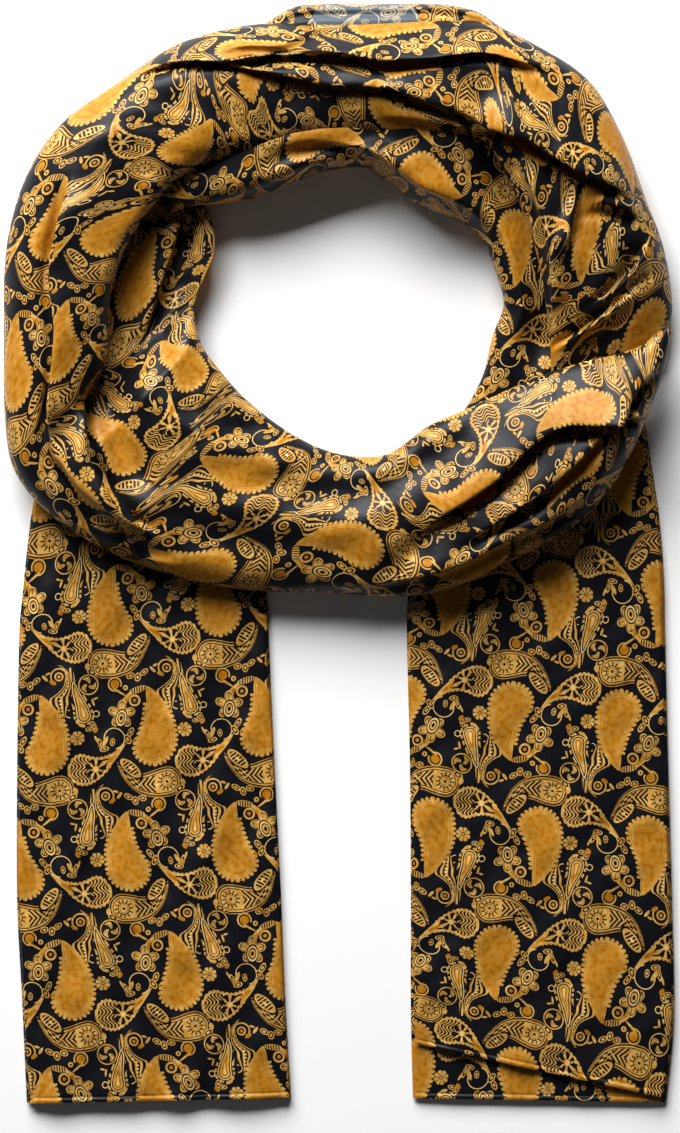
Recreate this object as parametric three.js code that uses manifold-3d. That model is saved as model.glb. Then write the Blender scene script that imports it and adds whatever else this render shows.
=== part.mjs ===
// A long silk scarf, folded lengthwise into a narrow band, wound once and a half as round a neck and laid flat.
// Millimetres, +Z up. X is across the tails, +Y runs from the tails' ends to the back of the neck,
// and the origin lies on the table under the middle of the whole.
import * as THREE from 'three';
import { mergeVertices } from 'three/addons/utils/BufferGeometryUtils.js';
import Module from 'manifold-3d';

// ---- sizes of the cloth -------------------------------------------------------------------------
const SCARF_LENGTH = 1800; // the flat scarf, end to end
const SCARF_WIDTH = 500; // the flat scarf, hem to hem
const FOLDS_ACROSS = 4; // folded in four lengthwise, so a tail is a quarter as wide
const TAIL_WIDTH = SCARF_WIDTH / FOLDS_ACROSS;
const WALL = 2.4; // one folded pair of layers, with the air that silk holds between them
const SEAM = 0.3; // clear gap between two stretches that touch
const CLEARANCE = 0.55; // growth of a stretch that cuts its neighbour: steep flanks take some of it
const TABLE = 0; // height of the surface that the scarf lies on

// bulge is where the band is widest above the table, as a share of its own height, squareTop how square
// its top edges are, and flatFoot the share of its underside that is flat.
const ROLL = { bulge: 0.38, squareTop: 2.6, flatFoot: 0.6 };
const PANEL = { bulge: 0.5, squareTop: 9, flatFoot: 0.95 };

// ---- sections along each stretch ---------------------------------------------------------------
// A row is one section across the band: its outer edge, its inner edge (towards the neck), how high
// its underside lies at each of them, and the height of its crest.
const COLUMNS = ['outerX', 'outerY', 'outerZ', 'innerX', 'innerY', 'innerZ', 'crest'];

// The band that crosses the front, climbs the left side, passes behind the neck and comes down the right.
const WRAP_SECTIONS = [
  [160.4, 107, 17, 157.0, 110.5, 17, 26],
  [157.5, 91, 15, 145.8, 101.3, 17, 29],
  [151.5, 73, 8, 132.2, 96.5, 17, 31],
  [141.5, 50, 7, 119.1, 93.6, 17, 32],
  [126.5, 25.5, 4, 102.1, 88.2, 16, 32],
  [105.0, 8, 2, 83.6, 80.9, 16, 31],
  [81.6, -4, 0, 63.2, 71.2, 14, 30],
  [57.3, -16, 0, 43.7, 62.9, 6, 29],
  [26.7, -20.4, 0, 23.8, 49.3, 0, 28],
  [-4.9, -18.6, 0, 7.3, 47.9, 0, 27],
  [-37.9, -17.7, 0, -10.7, 52.2, 0, 27],
  [-65.6, -14.3, 0, -29.2, 62.5, 0, 27],
  [-92.3, -7, 0, -46.2, 76.1, 0, 28],
  [-116.6, 3.6, 0, -57.5, 88.5, 0, 29],
  [-140.0, 18.2, 0, -67.1, 101.8, 0, 30],
  [-157.9, 40.1, 0, -71.0, 117.9, 0, 32],
  [-162.8, 65.4, 0, -70.0, 124.7, 0, 34],
  [-163.3, 104.2, 0, -66.6, 133.4, 0, 36],
  [-162.8, 142.2, 0, -61.2, 147.0, 0, 37],
  [-157.5, 169.9, 0, -62.2, 161.6, 0, 38],
  [-147.7, 192.7, 0, -68.0, 174.2, 0, 38],
  [-133.2, 211.2, 0, -66.1, 183.0, 4, 38],
  [-110.8, 227.2, 0, -57.3, 189.3, 12, 38],
  [-80.7, 247.1, 0, -39.9, 195.6, 18, 38],
  [-49.1, 256.4, 0, -19.4, 200.0, 20, 38],
  [-19.4, 258.5, 0, 0.0, 202.4, 20, 38],
  [9.7, 258.5, 0, 21.9, 203.4, 20, 38],
  [41.3, 259.8, 0, 44.7, 202.4, 20, 38],
  [69.0, 258.8, 0, 68.0, 200.5, 20, 37],
  [97.2, 246.4, 0, 77.8, 187.8, 19, 36],
  [121.5, 229.6, 0, 85.5, 172.3, 17, 35],
  [137.1, 203.4, 0, 92.3, 155.3, 14, 34],
  [148.2, 174.2, 0, 97.2, 137.3, 12, 32],
  [157.5, 149.0, 0, 100.1, 118.8, 10, 28],
  [159.4, 123.7, 0, 102.1, 101.8, 8, 20],
  [157.5, 101.8, 0, 103.0, 84.4, 5, 15],
];
// Each named stretch of that band, by the rows that it runs between.
const WRAP_STRETCHES = {
  front_wrap: { from: 0, to: 14.5, colour: 0xa8751f },
  left_wrap: { from: 14.5, to: 21.5, colour: 0xa06f1e },
  back_wrap: { from: 21.5, to: 28.5, colour: 0x9b6b1d },
  right_wrap: { from: 28.5, to: 35, colour: 0xa3721f },
};
// Folds of that band. from and to are rows, atFrom and atTo the place between the outer edge (0) and the
// inner (1), rise the height of a ridge (negative for a trough) and reach its half width in mm.
// A step is a lip: the cloth outside it stands higher than the cloth inside by its rise.
const WRAP_FOLDS = [
  { kind: 'step', from: 15.2, to: 21.4, atFrom: 0.47, atTo: 0.93, rise: 18, reach: 7 },
  { kind: 'ridge', from: 3.6, to: 8.6, atFrom: 0.46, atTo: 0.36, rise: -8, reach: 8 },
  { kind: 'ridge', from: 2.2, to: 7.4, atFrom: 0.12, atTo: 0.14, rise: -7, reach: 6 },
  { kind: 'ridge', from: 5.6, to: 11, atFrom: 0.8, atTo: 0.62, rise: -4, reach: 8 },
  { kind: 'ridge', from: 9.4, to: 14, atFrom: 0.2, atTo: 0.3, rise: -4, reach: 8 },
  { kind: 'ridge', from: 12, to: 16.8, atFrom: 0.1, atTo: 0.4, rise: -9, reach: 7 },
  { kind: 'ridge', from: 14.4, to: 19.4, atFrom: 0.2, atTo: 0.3, rise: -8, reach: 6 },
  { kind: 'ridge', from: 17.2, to: 21.2, atFrom: 0.8, atTo: 0.74, rise: -4, reach: 6 },
  { kind: 'ridge', from: 21, to: 29.8, atFrom: 0.2, atTo: 0.36, rise: -9, reach: 7 },
  { kind: 'ridge', from: 23, to: 28.8, atFrom: 0.46, atTo: 0.84, rise: -8, reach: 6 },
  { kind: 'ridge', from: 28.6, to: 32, atFrom: 0.9, atTo: 0.1, rise: -8, reach: 7 },
  { kind: 'ridge', from: 30, to: 34.6, atFrom: 0.7, atTo: 0.62, rise: -7, reach: 7 },
  { kind: 'ridge', from: 31.4, to: 34.8, atFrom: 0.3, atTo: 0.34, rise: -5, reach: 7 },
];

// The pass of the band that lies nearest to the neck, behind it and down its right side.
const INNER_SECTIONS = [
  [-92.0, 182.0, 0, -84.0, 164.5, 14, 22],
  [-78.0, 192.0, 0, -72.0, 169.0, 12, 25],
  [-60.8, 201.4, 0, -57.3, 170.5, 8, 27],
  [-41.3, 208.7, 0, -41.3, 173.4, 0, 28],
  [-26.7, 212.1, 0, -27.2, 179.1, 0, 29],
  [-9.7, 214.1, 0, -9.2, 185.9, 0, 29],
  [12.2, 216.0, 0, 10.7, 188.3, 0, 29],
  [34.0, 218.0, 0, 23.3, 181.0, 0, 29],
  [63.2, 215.1, 0, 38.9, 169.4, 0, 28],
  [88.5, 196.6, 0, 55.9, 163.5, 0, 27],
  [103.0, 172.3, 0, 69.0, 153.8, 0, 25],
  [107.9, 148.0, 0, 75.8, 137.3, 0, 23],
  [109.8, 123.7, 0, 79.7, 122.2, 0, 20],
  [109.0, 104.2, 0, 74.4, 106.7, 0, 17],
  [106.0, 86.8, 0, 70.0, 88.7, 0, 14],
  [102.0, 74.0, 0, 63.8, 75.5, 0, 12],
];
const INNER_STRETCHES = {
  inner_back: { from: 0, to: 8.5, colour: 0x8f621b },
  inner_right: { from: 8.5, to: 15, colour: 0x7f5717 },
};
const INNER_FOLDS = [
  { kind: 'ridge', from: 2.4, to: 9.6, atFrom: 0.56, atTo: 0.78, rise: -6, reach: 5 },
  { kind: 'ridge', from: 8, to: 13.6, atFrom: 0.4, atTo: 0.52, rise: -6, reach: 5 },
];

// The outermost layer behind the neck, which turns over and shows its wrong side.
const BACK_FOLD_SECTIONS = [
  [-40.0, 257.0, 0, -38.0, 249.0, 0, 12],
  [-33.5, 260.7, 0, -31.6, 247.1, 0, 18],
  [-22.4, 266.6, 0, -19.4, 246.1, 0, 22],
  [-9.7, 268.0, 0, -7.3, 245.2, 0, 24],
  [8.7, 268.0, 0, 9.7, 245.2, 0, 25],
  [32.6, 268.0, 0, 32.6, 245.2, 0, 25],
  [51.5, 267.6, 0, 48.6, 246.2, 0, 24],
  [66.1, 264.6, 0, 63.2, 246.0, 0, 22],
  [77.8, 257.5, 0, 73.9, 244.2, 0, 18],
  [88.5, 250.4, 0, 84.0, 241.0, 0, 12],
];

// The tails: the outer edge is the one away from the other tail.
const LEFT_TAIL_SECTIONS = [
  [-138.0, 46.0, 0, -50.0, 46.0, 0, WALL],
  [-149.2, 27.9, 0, -39.9, 16.8, 0, WALL],
  [-155.5, -22.1, 0, -35.5, -18.7, 0, WALL],
  [-157.0, -46.4, 0, -34.5, -46.4, 0, WALL],
  [-157.9, -109.6, 0, -31.6, -109.6, 0, WALL],
  [-157.9, -167.9, 0, -28.7, -167.9, 0, WALL],
  [-155.5, -216.5, 0, -26.7, -216.5, 0, WALL],
  [-153.1, -268.0, 0, -23.8, -265.6, 0, WALL],
];
const RIGHT_TAIL_SECTIONS = [
  [148.0, 71.0, 0, 62.0, 58.0, 0, WALL],
  [151.6, 48.8, 0, 43.7, 36.2, 0, WALL],
  [156.0, 19.2, 0, 35.0, 7.0, 0, WALL],
  [158.4, -11.9, 0, 33.0, -22.1, 0, WALL],
  [158.9, -37.2, 0, 32.6, -41.6, 0, WALL],
  [160.4, -99.9, 0, 34.0, -99.9, 0, WALL],
  [162.3, -167.9, 0, 34.5, -167.9, 0, WALL],
  [163.3, -225.7, 0, 34.5, -221.4, 0, WALL],
  [159.4, -267.6, 0, 35.5, -265.6, 0, WALL],
];
// How far each edge of a folded pair is drawn in, and how far its end stops short at each edge.
const TAIL_LAYERS = {
  left_tail_under: { sections: LEFT_TAIL_SECTIONS, level: 0, inset: 0, shortOuter: 0, shortInner: 0 },
  left_tail_top: { sections: LEFT_TAIL_SECTIONS, level: 1, inset: 0.8, shortOuter: 0, shortInner: 0.6 },
  right_tail_under: { sections: RIGHT_TAIL_SECTIONS, level: 0, inset: 0, shortOuter: 0, shortInner: 0 },
  right_tail_top: { sections: RIGHT_TAIL_SECTIONS, level: 1, inset: 1.2, shortOuter: 2.5, shortInner: 27 },
};

// ---- surfaces ------------------------------------------------------------------------------------
const columnIndex = Object.fromEntries(COLUMNS.map((name, i) => [name, i]));

// A smooth value of one column at a row that needn't be whole (uniform Catmull-Rom).
function columnAt(rows, row, name) {
  const c = columnIndex[name];
  const i = Math.min(Math.max(Math.floor(row), 0), rows.length - 2);
  const u = row - i;
  const at = (k) => {
    if (k < 0) return 2 * rows[0][c] - rows[1][c];
    if (k >= rows.length) return 2 * rows[rows.length - 1][c] - rows[rows.length - 2][c];
    return rows[k][c];
  };
  const [a, b, d, e] = [at(i - 1), at(i), at(i + 1), at(i + 2)];
  return b + 0.5 * u * (d - a + u * (2 * a - 5 * b + 4 * d - e + u * (3 * (b - d) + e - a)));
}

const clamp01 = (x) => Math.min(1, Math.max(0, x));
const smooth = (x) => clamp01(x) ** 2 * (3 - 2 * clamp01(x));

// Height that the folds add at a row and a place across the band, whose width there is given.
function foldHeight(folds, row, place, width) {
  let z = 0;
  for (const f of folds) {
    const along = (row - f.from) / (f.to - f.from);
    if (along <= 0 || along >= 1) continue;
    const fade = smooth(along * 4) * smooth((1 - along) * 4);
    const x = ((place - (f.atFrom + (f.atTo - f.atFrom) * along)) * width) / f.reach;
    z += f.kind === 'step' ? -f.rise * fade * smooth(0.5 + x / 2) : f.rise * fade * Math.exp(-x * x);
  }
  return z;
}

// One ring of points round the band: over its top from the outer edge to the inner, and back beneath.
// grow moves the whole skin outwards.
function ringAt({ rows, folds = [], shape, places }, row, grow) {
  const get = (name) => columnAt(rows, row, name);
  const outer = new THREE.Vector2(get('outerX'), get('outerY'));
  const inner = new THREE.Vector2(get('innerX'), get('innerY'));
  const across = inner.clone().sub(outer);
  const width = across.length();
  across.normalize();
  outer.addScaledVector(across, -grow);
  inner.addScaledVector(across, grow);
  const over = [];
  const under = [];
  for (let j = 0; j <= places; j++) {
    const place = (1 - Math.cos((Math.PI * j) / places)) / 2;
    const edge = Math.abs(2 * place - 1);
    const foot = get('outerZ') * (1 - place) + get('innerZ') * place;
    const lift = get('crest') - foot;
    const dome = Math.sqrt(Math.max(0, 1 - edge ** shape.squareTop));
    const sole = Math.sqrt(1 - Math.max(0, (edge - shape.flatFoot) / (1 - shape.flatFoot)) ** 2);
    const folded = foldHeight(folds, row, place, width) * dome;
    const top = foot + lift * (shape.bulge + (1 - shape.bulge) * dome) + folded;
    const low = foot + lift * shape.bulge * (1 - sole);
    const at = outer.clone().lerp(inner, place);
    over.push(new THREE.Vector3(at.x, at.y, Math.max(top, low + 0.8) + grow));
    under.push(new THREE.Vector3(at.x, at.y, low - grow));
  }
  return { over, under };
}

// A closed solid of a stretch between two rows: its rings, joined along the band and closed at both ends.
function stretchGeometry(spec, grow = 0) {
  const { from, to, steps, places } = spec;
  const points = [];
  const faces = [];
  const size = 2 * places;
  for (let i = 0; i <= steps; i++) {
    const { over, under } = ringAt(spec, from + ((to - from) * i) / steps, grow);
    over[0].z = over[0].z / 2 + under[0].z / 2;
    over[places].z = over[places].z / 2 + under[places].z / 2;
    points.push(...over, ...under.slice(1, places).reverse());
  }
  for (let i = 0; i < steps; i++) {
    for (let k = 0; k < size; k++) {
      const a = i * size + k;
      const b = i * size + ((k + 1) % size);
      faces.push([a, b, b + size], [a, b + size, a + size]);
    }
  }
  for (const [first, turned] of [[0, false], [steps * size, true]]) {
    const top = (j) => first + j;
    const low = (j) => first + ((size - j) % size);
    for (let j = 0; j < places; j++) {
      const quad = [top(j), low(j), low(j + 1), top(j + 1)];
      const pair = [[quad[0], quad[1], quad[2]], [quad[0], quad[2], quad[3]]];
      for (const t of pair) if (new Set(t).size === 3) faces.push(turned ? t.reverse() : t);
    }
  }
  return closedGeometry(points, faces);
}

// An indexed geometry whose faces are turned to point out.
function closedGeometry(points, faces) {
  const volume = faces.reduce(
    (sum, [a, b, c]) => sum + points[a].dot(points[b].clone().cross(points[c])), 0);
  const index = faces.flatMap((f) => (volume < 0 ? [...f].reverse() : f));
  const geometry = new THREE.BufferGeometry().setFromPoints(points);
  geometry.setIndex(index);
  return geometry;
}

// ---- cutting one stretch clear of another ---------------------------------------------------------
const wasm = await Module();
wasm.setup();

function toSolid(geometry) {
  const plain = geometry.clone();
  plain.deleteAttribute('normal');
  const merged = mergeVertices(plain, 1e-3);
  return new wasm.Manifold(new wasm.Mesh({
    numProp: 3,
    vertProperties: new Float32Array(merged.attributes.position.array),
    triVerts: new Uint32Array(merged.index.array),
  }));
}

// The largest closed body of a solid, as a geometry.
function toGeometry(solid) {
  const body = solid.decompose().reduce((a, b) => (b.volume() > a.volume() ? b : a));
  const { vertProperties, triVerts, numProp } = body.getMesh();
  const positions = new Float32Array((vertProperties.length / numProp) * 3);
  for (let i = 0; i < positions.length / 3; i++) {
    for (let k = 0; k < 3; k++) positions[3 * i + k] = vertProperties[i * numProp + k];
  }
  const geometry = new THREE.BufferGeometry();
  geometry.setAttribute('position', new THREE.BufferAttribute(positions, 3));
  geometry.setIndex([...triVerts]);
  return geometry;
}

// ---- the stretches ---------------------------------------------------------------------------------
// Half of the seam's gap is left at each end, as a share of a row.
const SEAM_ROWS = 0.015;

function stretchesOf(rows, folds, table, places, stepsPerRow) {
  return Object.entries(table).map(([name, { from, to, colour }]) => ({
    name, rows, folds, places, colour, shape: ROLL,
    from: from + (from > 0 ? SEAM_ROWS : 0),
    to: to - (to < rows.length - 1 ? SEAM_ROWS : 0),
    steps: Math.round((to - from) * stepsPerRow),
  }));
}

function tailStretch(name, { sections, level, inset, shortOuter, shortInner }) {
  const rows = sections.map((row, i) => {
    const [ox, oy, , ix, iy] = row;
    const side = Math.sign(ix - ox);
    const end = i === sections.length - 1 ? 1 : 0;
    const foot = level * (WALL + SEAM);
    return [ox + side * inset, oy + end * shortOuter, foot,
      ix - side * inset, iy + end * shortInner, foot, foot + WALL];
  });
  // A slanted end turns about its outer corner, so the row before it keeps clear of it.
  const last = rows.length - 1;
  if (shortInner > 5) rows[last - 1][4] += shortInner * 0.4;
  return { name, rows, folds: [], places: 8, shape: PANEL, colour: 0xb07b22,
    from: 0, to: last, steps: last * 2 };
}

const wraps = stretchesOf(WRAP_SECTIONS, WRAP_FOLDS, WRAP_STRETCHES, 15, 1.7);
const inners = stretchesOf(INNER_SECTIONS, INNER_FOLDS, INNER_STRETCHES, 9, 1.5);
const tails = Object.entries(TAIL_LAYERS).map(([name, layer]) => tailStretch(name, layer));
const backFold = { name: 'back_fold', rows: BACK_FOLD_SECTIONS, folds: [], places: 7, shape: ROLL,
  colour: 0x5c6a74, from: 0, to: BACK_FOLD_SECTIONS.length - 1, steps: 11 };
const [frontWrap, ...outerWraps] = wraps;

// Each stretch with those that it is cut clear of: it lies over them, or tucks in beneath them.
const solids = new Map();
function lay(spec, clearOf) {
  let solid = toSolid(stretchGeometry(spec));
  for (const other of clearOf) {
    const near = stretchGeometry(
      { ...other, from: other.from - SEAM_ROWS, to: other.to + SEAM_ROWS }, CLEARANCE);
    solid = solid.subtract(toSolid(near));
  }
  solids.set(spec.name, { geometry: toGeometry(solid), colour: spec.colour });
}
for (const spec of tails) lay(spec, []);
for (const spec of outerWraps) lay(spec, tails);
for (const spec of inners) lay(spec, [...outerWraps, ...tails]);
lay(backFold, outerWraps);
lay(frontWrap, [...tails, ...inners, outerWraps[2]]);

// ---- the scarf -------------------------------------------------------------------------------------
const scarf = new THREE.Group();
for (const [name, { geometry, colour }] of solids) {
  const cloth = new THREE.MeshStandardMaterial({ color: colour, roughness: 0.42, metalness: 0 });
  geometry.computeVertexNormals();
  const mesh = new THREE.Mesh(geometry, cloth);
  mesh.name = name;
  mesh.position.z = TABLE;
  scarf.add(mesh);
}
scarf.userData = { flatLength: SCARF_LENGTH, flatWidth: SCARF_WIDTH, tailWidth: TAIL_WIDTH };

export default scarf;
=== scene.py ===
"""A long silk scarf with a gold paisley print, wound once and a half as round a neck and laid flat on a table.

The scarf is one folded band of silk. Each stretch of it that shows is a thin shell of its own: a rounded, flattened
tube carried along a run of sections, with its folds laid on one by one. Places are in millimetres and turn to metres
where a mesh is written. +X is across the tails, +Y goes to the back of the neck and +Z is up.
"""

from __future__ import annotations

import logging
import math
from dataclasses import dataclass
from enum import Enum

import bpy
import numpy as np
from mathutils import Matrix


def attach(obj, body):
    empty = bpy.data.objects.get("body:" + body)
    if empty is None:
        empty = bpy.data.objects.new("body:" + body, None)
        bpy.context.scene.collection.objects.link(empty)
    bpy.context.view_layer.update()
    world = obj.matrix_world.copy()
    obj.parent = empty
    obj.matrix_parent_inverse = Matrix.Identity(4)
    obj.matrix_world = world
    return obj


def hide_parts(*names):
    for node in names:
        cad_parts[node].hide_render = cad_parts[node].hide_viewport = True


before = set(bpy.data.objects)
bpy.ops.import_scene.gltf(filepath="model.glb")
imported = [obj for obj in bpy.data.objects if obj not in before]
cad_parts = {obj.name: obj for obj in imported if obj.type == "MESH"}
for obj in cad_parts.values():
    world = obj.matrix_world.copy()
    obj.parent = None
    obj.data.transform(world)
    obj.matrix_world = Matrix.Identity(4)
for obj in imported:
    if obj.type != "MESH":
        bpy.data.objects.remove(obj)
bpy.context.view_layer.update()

Array = np.ndarray
Pairs = tuple[tuple[float, float], ...]
Socket = bpy.types.NodeSocket
Nodes = bpy.types.NodeTree
LOG = logging.getLogger("silk_scarf")
MM = 0.001


class Facing(Enum):
    """The side of a band that a fold falls towards."""

    NECK = 1.0
    EDGE = -1.0


class Side(Enum):
    """Which side of the silk shows, named as the record's material slots are."""

    PRINTED = "printed_silk"
    WRONG = "silk_wrong_side"


# ---- curves and small functions -----------------------------------------------------------------------------------


def smooth(x: Array) -> Array:
    """Ease from 0 to 1 while x goes from 0 to 1, level at both ends: 3x^2 - 2x^3."""
    x = np.clip(x, 0.0, 1.0)
    return x * x * (3.0 - 2.0 * x)


def through(x: Array, knots: Array, values: Array) -> Array:
    """A smooth curve through given values.

    Between two knots it is the cubic that has the right value and slope at both, and the slope at a knot is the one
    between its neighbours.

    Args:
        x: where the curve is wanted.
        knots: increasing places of the given values.
        values: one value, or one row of values, for each knot.

    Returns:
        The values at x, one row for each x when values has rows.
    """
    slopes = np.gradient(values, knots, axis=0)
    i = np.clip(np.searchsorted(knots, x, side="right") - 1, 0, len(knots) - 2)
    span = knots[i + 1] - knots[i]
    u = (x - knots[i]) / span
    if values.ndim > 1:
        u, span = u[:, None], span[:, None]
    a, b = values[i], values[i + 1]
    ma, mb = slopes[i] * span, slopes[i + 1] * span
    return (
        (2 * u**3 - 3 * u**2 + 1) * a
        + (u**3 - 2 * u**2 + u) * ma
        + (3 * u**2 - 2 * u**3) * b
        + (u**3 - u**2) * mb
    )


def track_place(track: Pairs, rows: Array) -> Array:
    """Second value of a short list of pairs at any first value, held beyond its ends."""
    knots = np.array(track)
    return through(np.clip(rows, knots[0, 0], knots[-1, 0]), knots[:, 0], knots[:, 1])


def running(steps: Array) -> Array:
    """Running sum of a list of steps, starting at 0."""
    return np.concatenate([[0.0], np.cumsum(steps)])


def steps_along(points: Array, axis: int) -> Array:
    """Running length of a grid of points along one axis, starting at 0.

    Args:
        points: grid of points, its last axis x, y, z.
        axis: the grid axis to follow.

    Returns:
        A grid of lengths without the last axis.
    """
    lengths = np.cumsum(np.linalg.norm(np.diff(points, axis=axis), axis=-1), axis=axis)
    pad = [(0, 0), (0, 0)]
    pad[axis] = (1, 0)
    return np.pad(lengths, pad)


# ---- folds --------------------------------------------------------------------------------------------------------

CREASE = 2.4  # width over which the print changes over at a crease, mm


class Crease:
    """What a fold and a ledge share: each follows a track, leans over its foot and takes some cloth out of sight."""

    track: Pairs
    front: float
    lean: float
    hidden: float
    facing: Facing

    def share(self, rows: Array) -> Array:
        """How much of it is there at each row, from 0 to 1."""
        raise NotImplementedError

    def before(self, rows: Array, places: Array, width: Array) -> Array:
        """Distance in mm that a place lies before the crest, on the side it falls towards."""
        off = (places - track_place(self.track, rows)[:, None]) * width[:, None] * self.facing.value
        return off + self.lean * self.share(rows)[:, None]

    def past(self, rows: Array, places: Array, width: Array) -> Array:
        """1 on the neck side of the crease and 0 on the other."""
        gone = smooth((self.before(rows, places, width) - self.front) / CREASE + 0.5)
        return 1.0 - gone if self.facing is Facing.EDGE else gone

    def swallowed(self, rows: Array, places: Array, width: Array) -> Array:
        """Width of cloth hidden between the outer edge and each place, mm."""
        return self.hidden * self.past(rows, places, width) * self.share(rows)[:, None]


@dataclass(frozen=True)
class Fold(Crease):
    """One soft fold along a band, from a roll that leans over to a plain crease.

    Across the fold its height is rise times a bell that falls off over back mm behind the crest and over front mm
    before it, less a shallower bell beyond the foot. The crest lies lean mm behind the track and is carried forwards
    onto it, and the carry ends sharply before the crest, so that a strong fold hangs over its own foot.

    Attributes:
        track: (row, place) points that the fold's lip runs through. Place goes from 0 at the outer edge to 1.
        rise: height of the crest in mm, negative for a trough.
        back: how far the rise reaches behind the crest, mm.
        front: how far it reaches before the crest, mm.
        lean: how far the crest hangs forwards, mm.
        hollow: depth of the crease at its foot, as a share of rise.
        hidden: width of cloth that goes out of sight inside the fold, mm.
        facing: the side it falls towards.
        ease: share of its length over which it fades in and out.
        agree: row where the print on its two sides agrees, for a fold that parts it, or None.
        foot_at: middle of the bell at its foot, as a share of front.
        foot_wide: half width of that bell, as a share of front.
        carry: how far before the crest it is carried forwards, as a share of front.
    """

    track: Pairs
    rise: float
    back: float = 12.0
    front: float = 4.0
    lean: float = 0.0
    hollow: float = 0.35
    hidden: float = 0.0
    facing: Facing = Facing.NECK
    ease: float = 0.3
    agree: float | None = None
    foot_at: float = 2.1
    foot_wide: float = 1.2
    carry: float = 0.75

    def share(self, rows: Array) -> Array:
        """How much of the fold is there at each row, 0 beyond its ends and 1 along its middle."""
        along = (rows - self.track[0][0]) / (self.track[-1][0] - self.track[0][0])
        return smooth(along / self.ease) * smooth((1.0 - along) / self.ease)

    def apply(self, rows: Array, places: Array, width: Array) -> tuple[Array, Array]:
        """Height and forward shift of the fold over a grid.

        Args:
            rows: row of each line of the grid.
            places: place of each point across the band, 0 to 1.
            width: the band's width at each row, mm.

        Returns:
            Two grids in mm: the height to add, and the shift towards the neck.
        """
        d = self.before(rows, places, width)
        bell = np.exp(-((d / np.where(d < 0.0, self.back, self.front)) ** 2))
        foot = np.exp(-(((d - self.foot_at * self.front) / (self.foot_wide * self.front)) ** 2))
        carried = np.exp(-((d / np.where(d < 0.0, self.back, self.carry * self.front)) ** 2))
        s = self.share(rows)[:, None]
        return self.rise * (bell - self.hollow * foot) * s, self.lean * self.facing.value * carried * s


@dataclass(frozen=True)
class Ledge(Crease):
    """A deep fold that parts a high roll from a lower layer beside it.

    The cloth on the neck side of the track stands lower. It rounds over as a quarter circle, scaled to brim of the
    drop, ahead of the lip; past the lip it turns down within front mm, and the lip leans over the lower layer. The
    lower layer dips towards its foot under the lip.

    Attributes:
        track: (row, place) points that the lip runs through.
        drop: (row, mm) points, how much lower the inner layer lies along the fold.
        front: how sharply the cloth turns down past the lip, mm.
        round_over: width of the rounded part ahead of the lip, mm.
        brim: share of the drop that the rounded part falls by.
        toe: depth of the dip at the foot, mm.
        toe_at: middle of the dip, as a share of lean.
        toe_wide: half width of the dip, mm.
        toe_in: how soon past the lip the dip sets in, mm.
        lean: how far the lip hangs over, mm.
        back: how far behind the lip the lean reaches, mm.
        hidden: width of cloth that goes out of sight under the lip, mm.
        facing: the side it falls towards.
        agree: as for a Fold.
    """

    track: Pairs
    drop: Pairs
    front: float = 3.0
    round_over: float = 13.0
    brim: float = 0.45
    toe: float = 3.0
    toe_at: float = 0.9
    toe_wide: float = 9.0
    toe_in: float = 3.0
    lean: float = 8.0
    back: float = 16.0
    hidden: float = 8.0
    facing: Facing = Facing.NECK
    agree: float | None = None

    def deepest(self) -> float:
        """The greatest drop along it, mm."""
        return max(depth for _, depth in self.drop)

    def share(self, rows: Array) -> Array:
        """How deep the ledge is at each row, as a share of its deepest."""
        return np.clip(track_place(self.drop, rows) / self.deepest(), 0.0, 1.0)

    def apply(self, rows: Array, places: Array, width: Array) -> tuple[Array, Array]:
        """Height and shift over a grid, as Fold.apply gives them."""
        d = self.before(rows, places, width)
        share = self.share(rows)[:, None]
        rounded = self.brim * (1.0 - np.sqrt(1.0 - np.clip(1.0 + d / self.round_over, 0.0, 1.0) ** 2))
        beyond = (1.0 - self.brim) * (1.0 - np.exp(-((np.maximum(d, 0.0) / self.front) ** 2)))
        toe = self.toe * np.exp(-(((d - self.toe_at * self.lean) / self.toe_wide) ** 2)) * (d > 0.0)
        eased = toe * (1.0 - np.exp(-d * d / self.toe_in**2))
        height = -share * (self.deepest() * (rounded + beyond) + eased)
        shift = self.lean * share * np.exp(-((d / np.where(d < 0.0, self.back, self.front)) ** 2))
        return height, shift


@dataclass(frozen=True)
class Ripple:
    """Slight unevenness of loose cloth: long low waves that run askew along and across a band.

    Its height is a sum of sines of the place on the cloth.

    Attributes:
        height: height of its first wave, mm.
        waves: (wavelength along, wavelength across, phase) of each wave, in mm and radians.
        fade: how much lower each wave is than the one before it.
    """

    height: float = 0.5
    waves: tuple[tuple[float, float, float], ...] = (
        (83.0, 31.0, 0.3),
        (47.0, -38.0, 1.9),
        (31.0, 21.0, 4.1),
        (19.0, -27.0, 2.6),
    )
    fade: float = 0.6

    def apply(self, along: Array, across: Array) -> Array:
        """Height in mm at places given in mm along and across the band."""
        total = np.zeros(np.broadcast(along, across).shape)
        for n, (long, wide, phase) in enumerate(self.waves):
            total = total + np.sin(2 * np.pi * (along / long + across / wide) + phase) / (1.0 + self.fade * n)
        return self.height * total


# ---- bands --------------------------------------------------------------------------------------------------------

FULL_RIPPLE = 60.0  # width of a band from which its unevenness is full, mm
AROUND = 561  # points round a section from which even places are read off
HEM_ROLL = (0.4, 0.5, 0.42)  # a hem's roll: its height in mm, and its middle and half width as shares of the hem
HEM_DIP = (0.3, 1.15, 0.5)  # the dip beside it: its depth in mm, its middle as a share of the hem, half width in mm
HEM_STEP = 0.4  # grid spacing along a hem, mm


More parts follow.
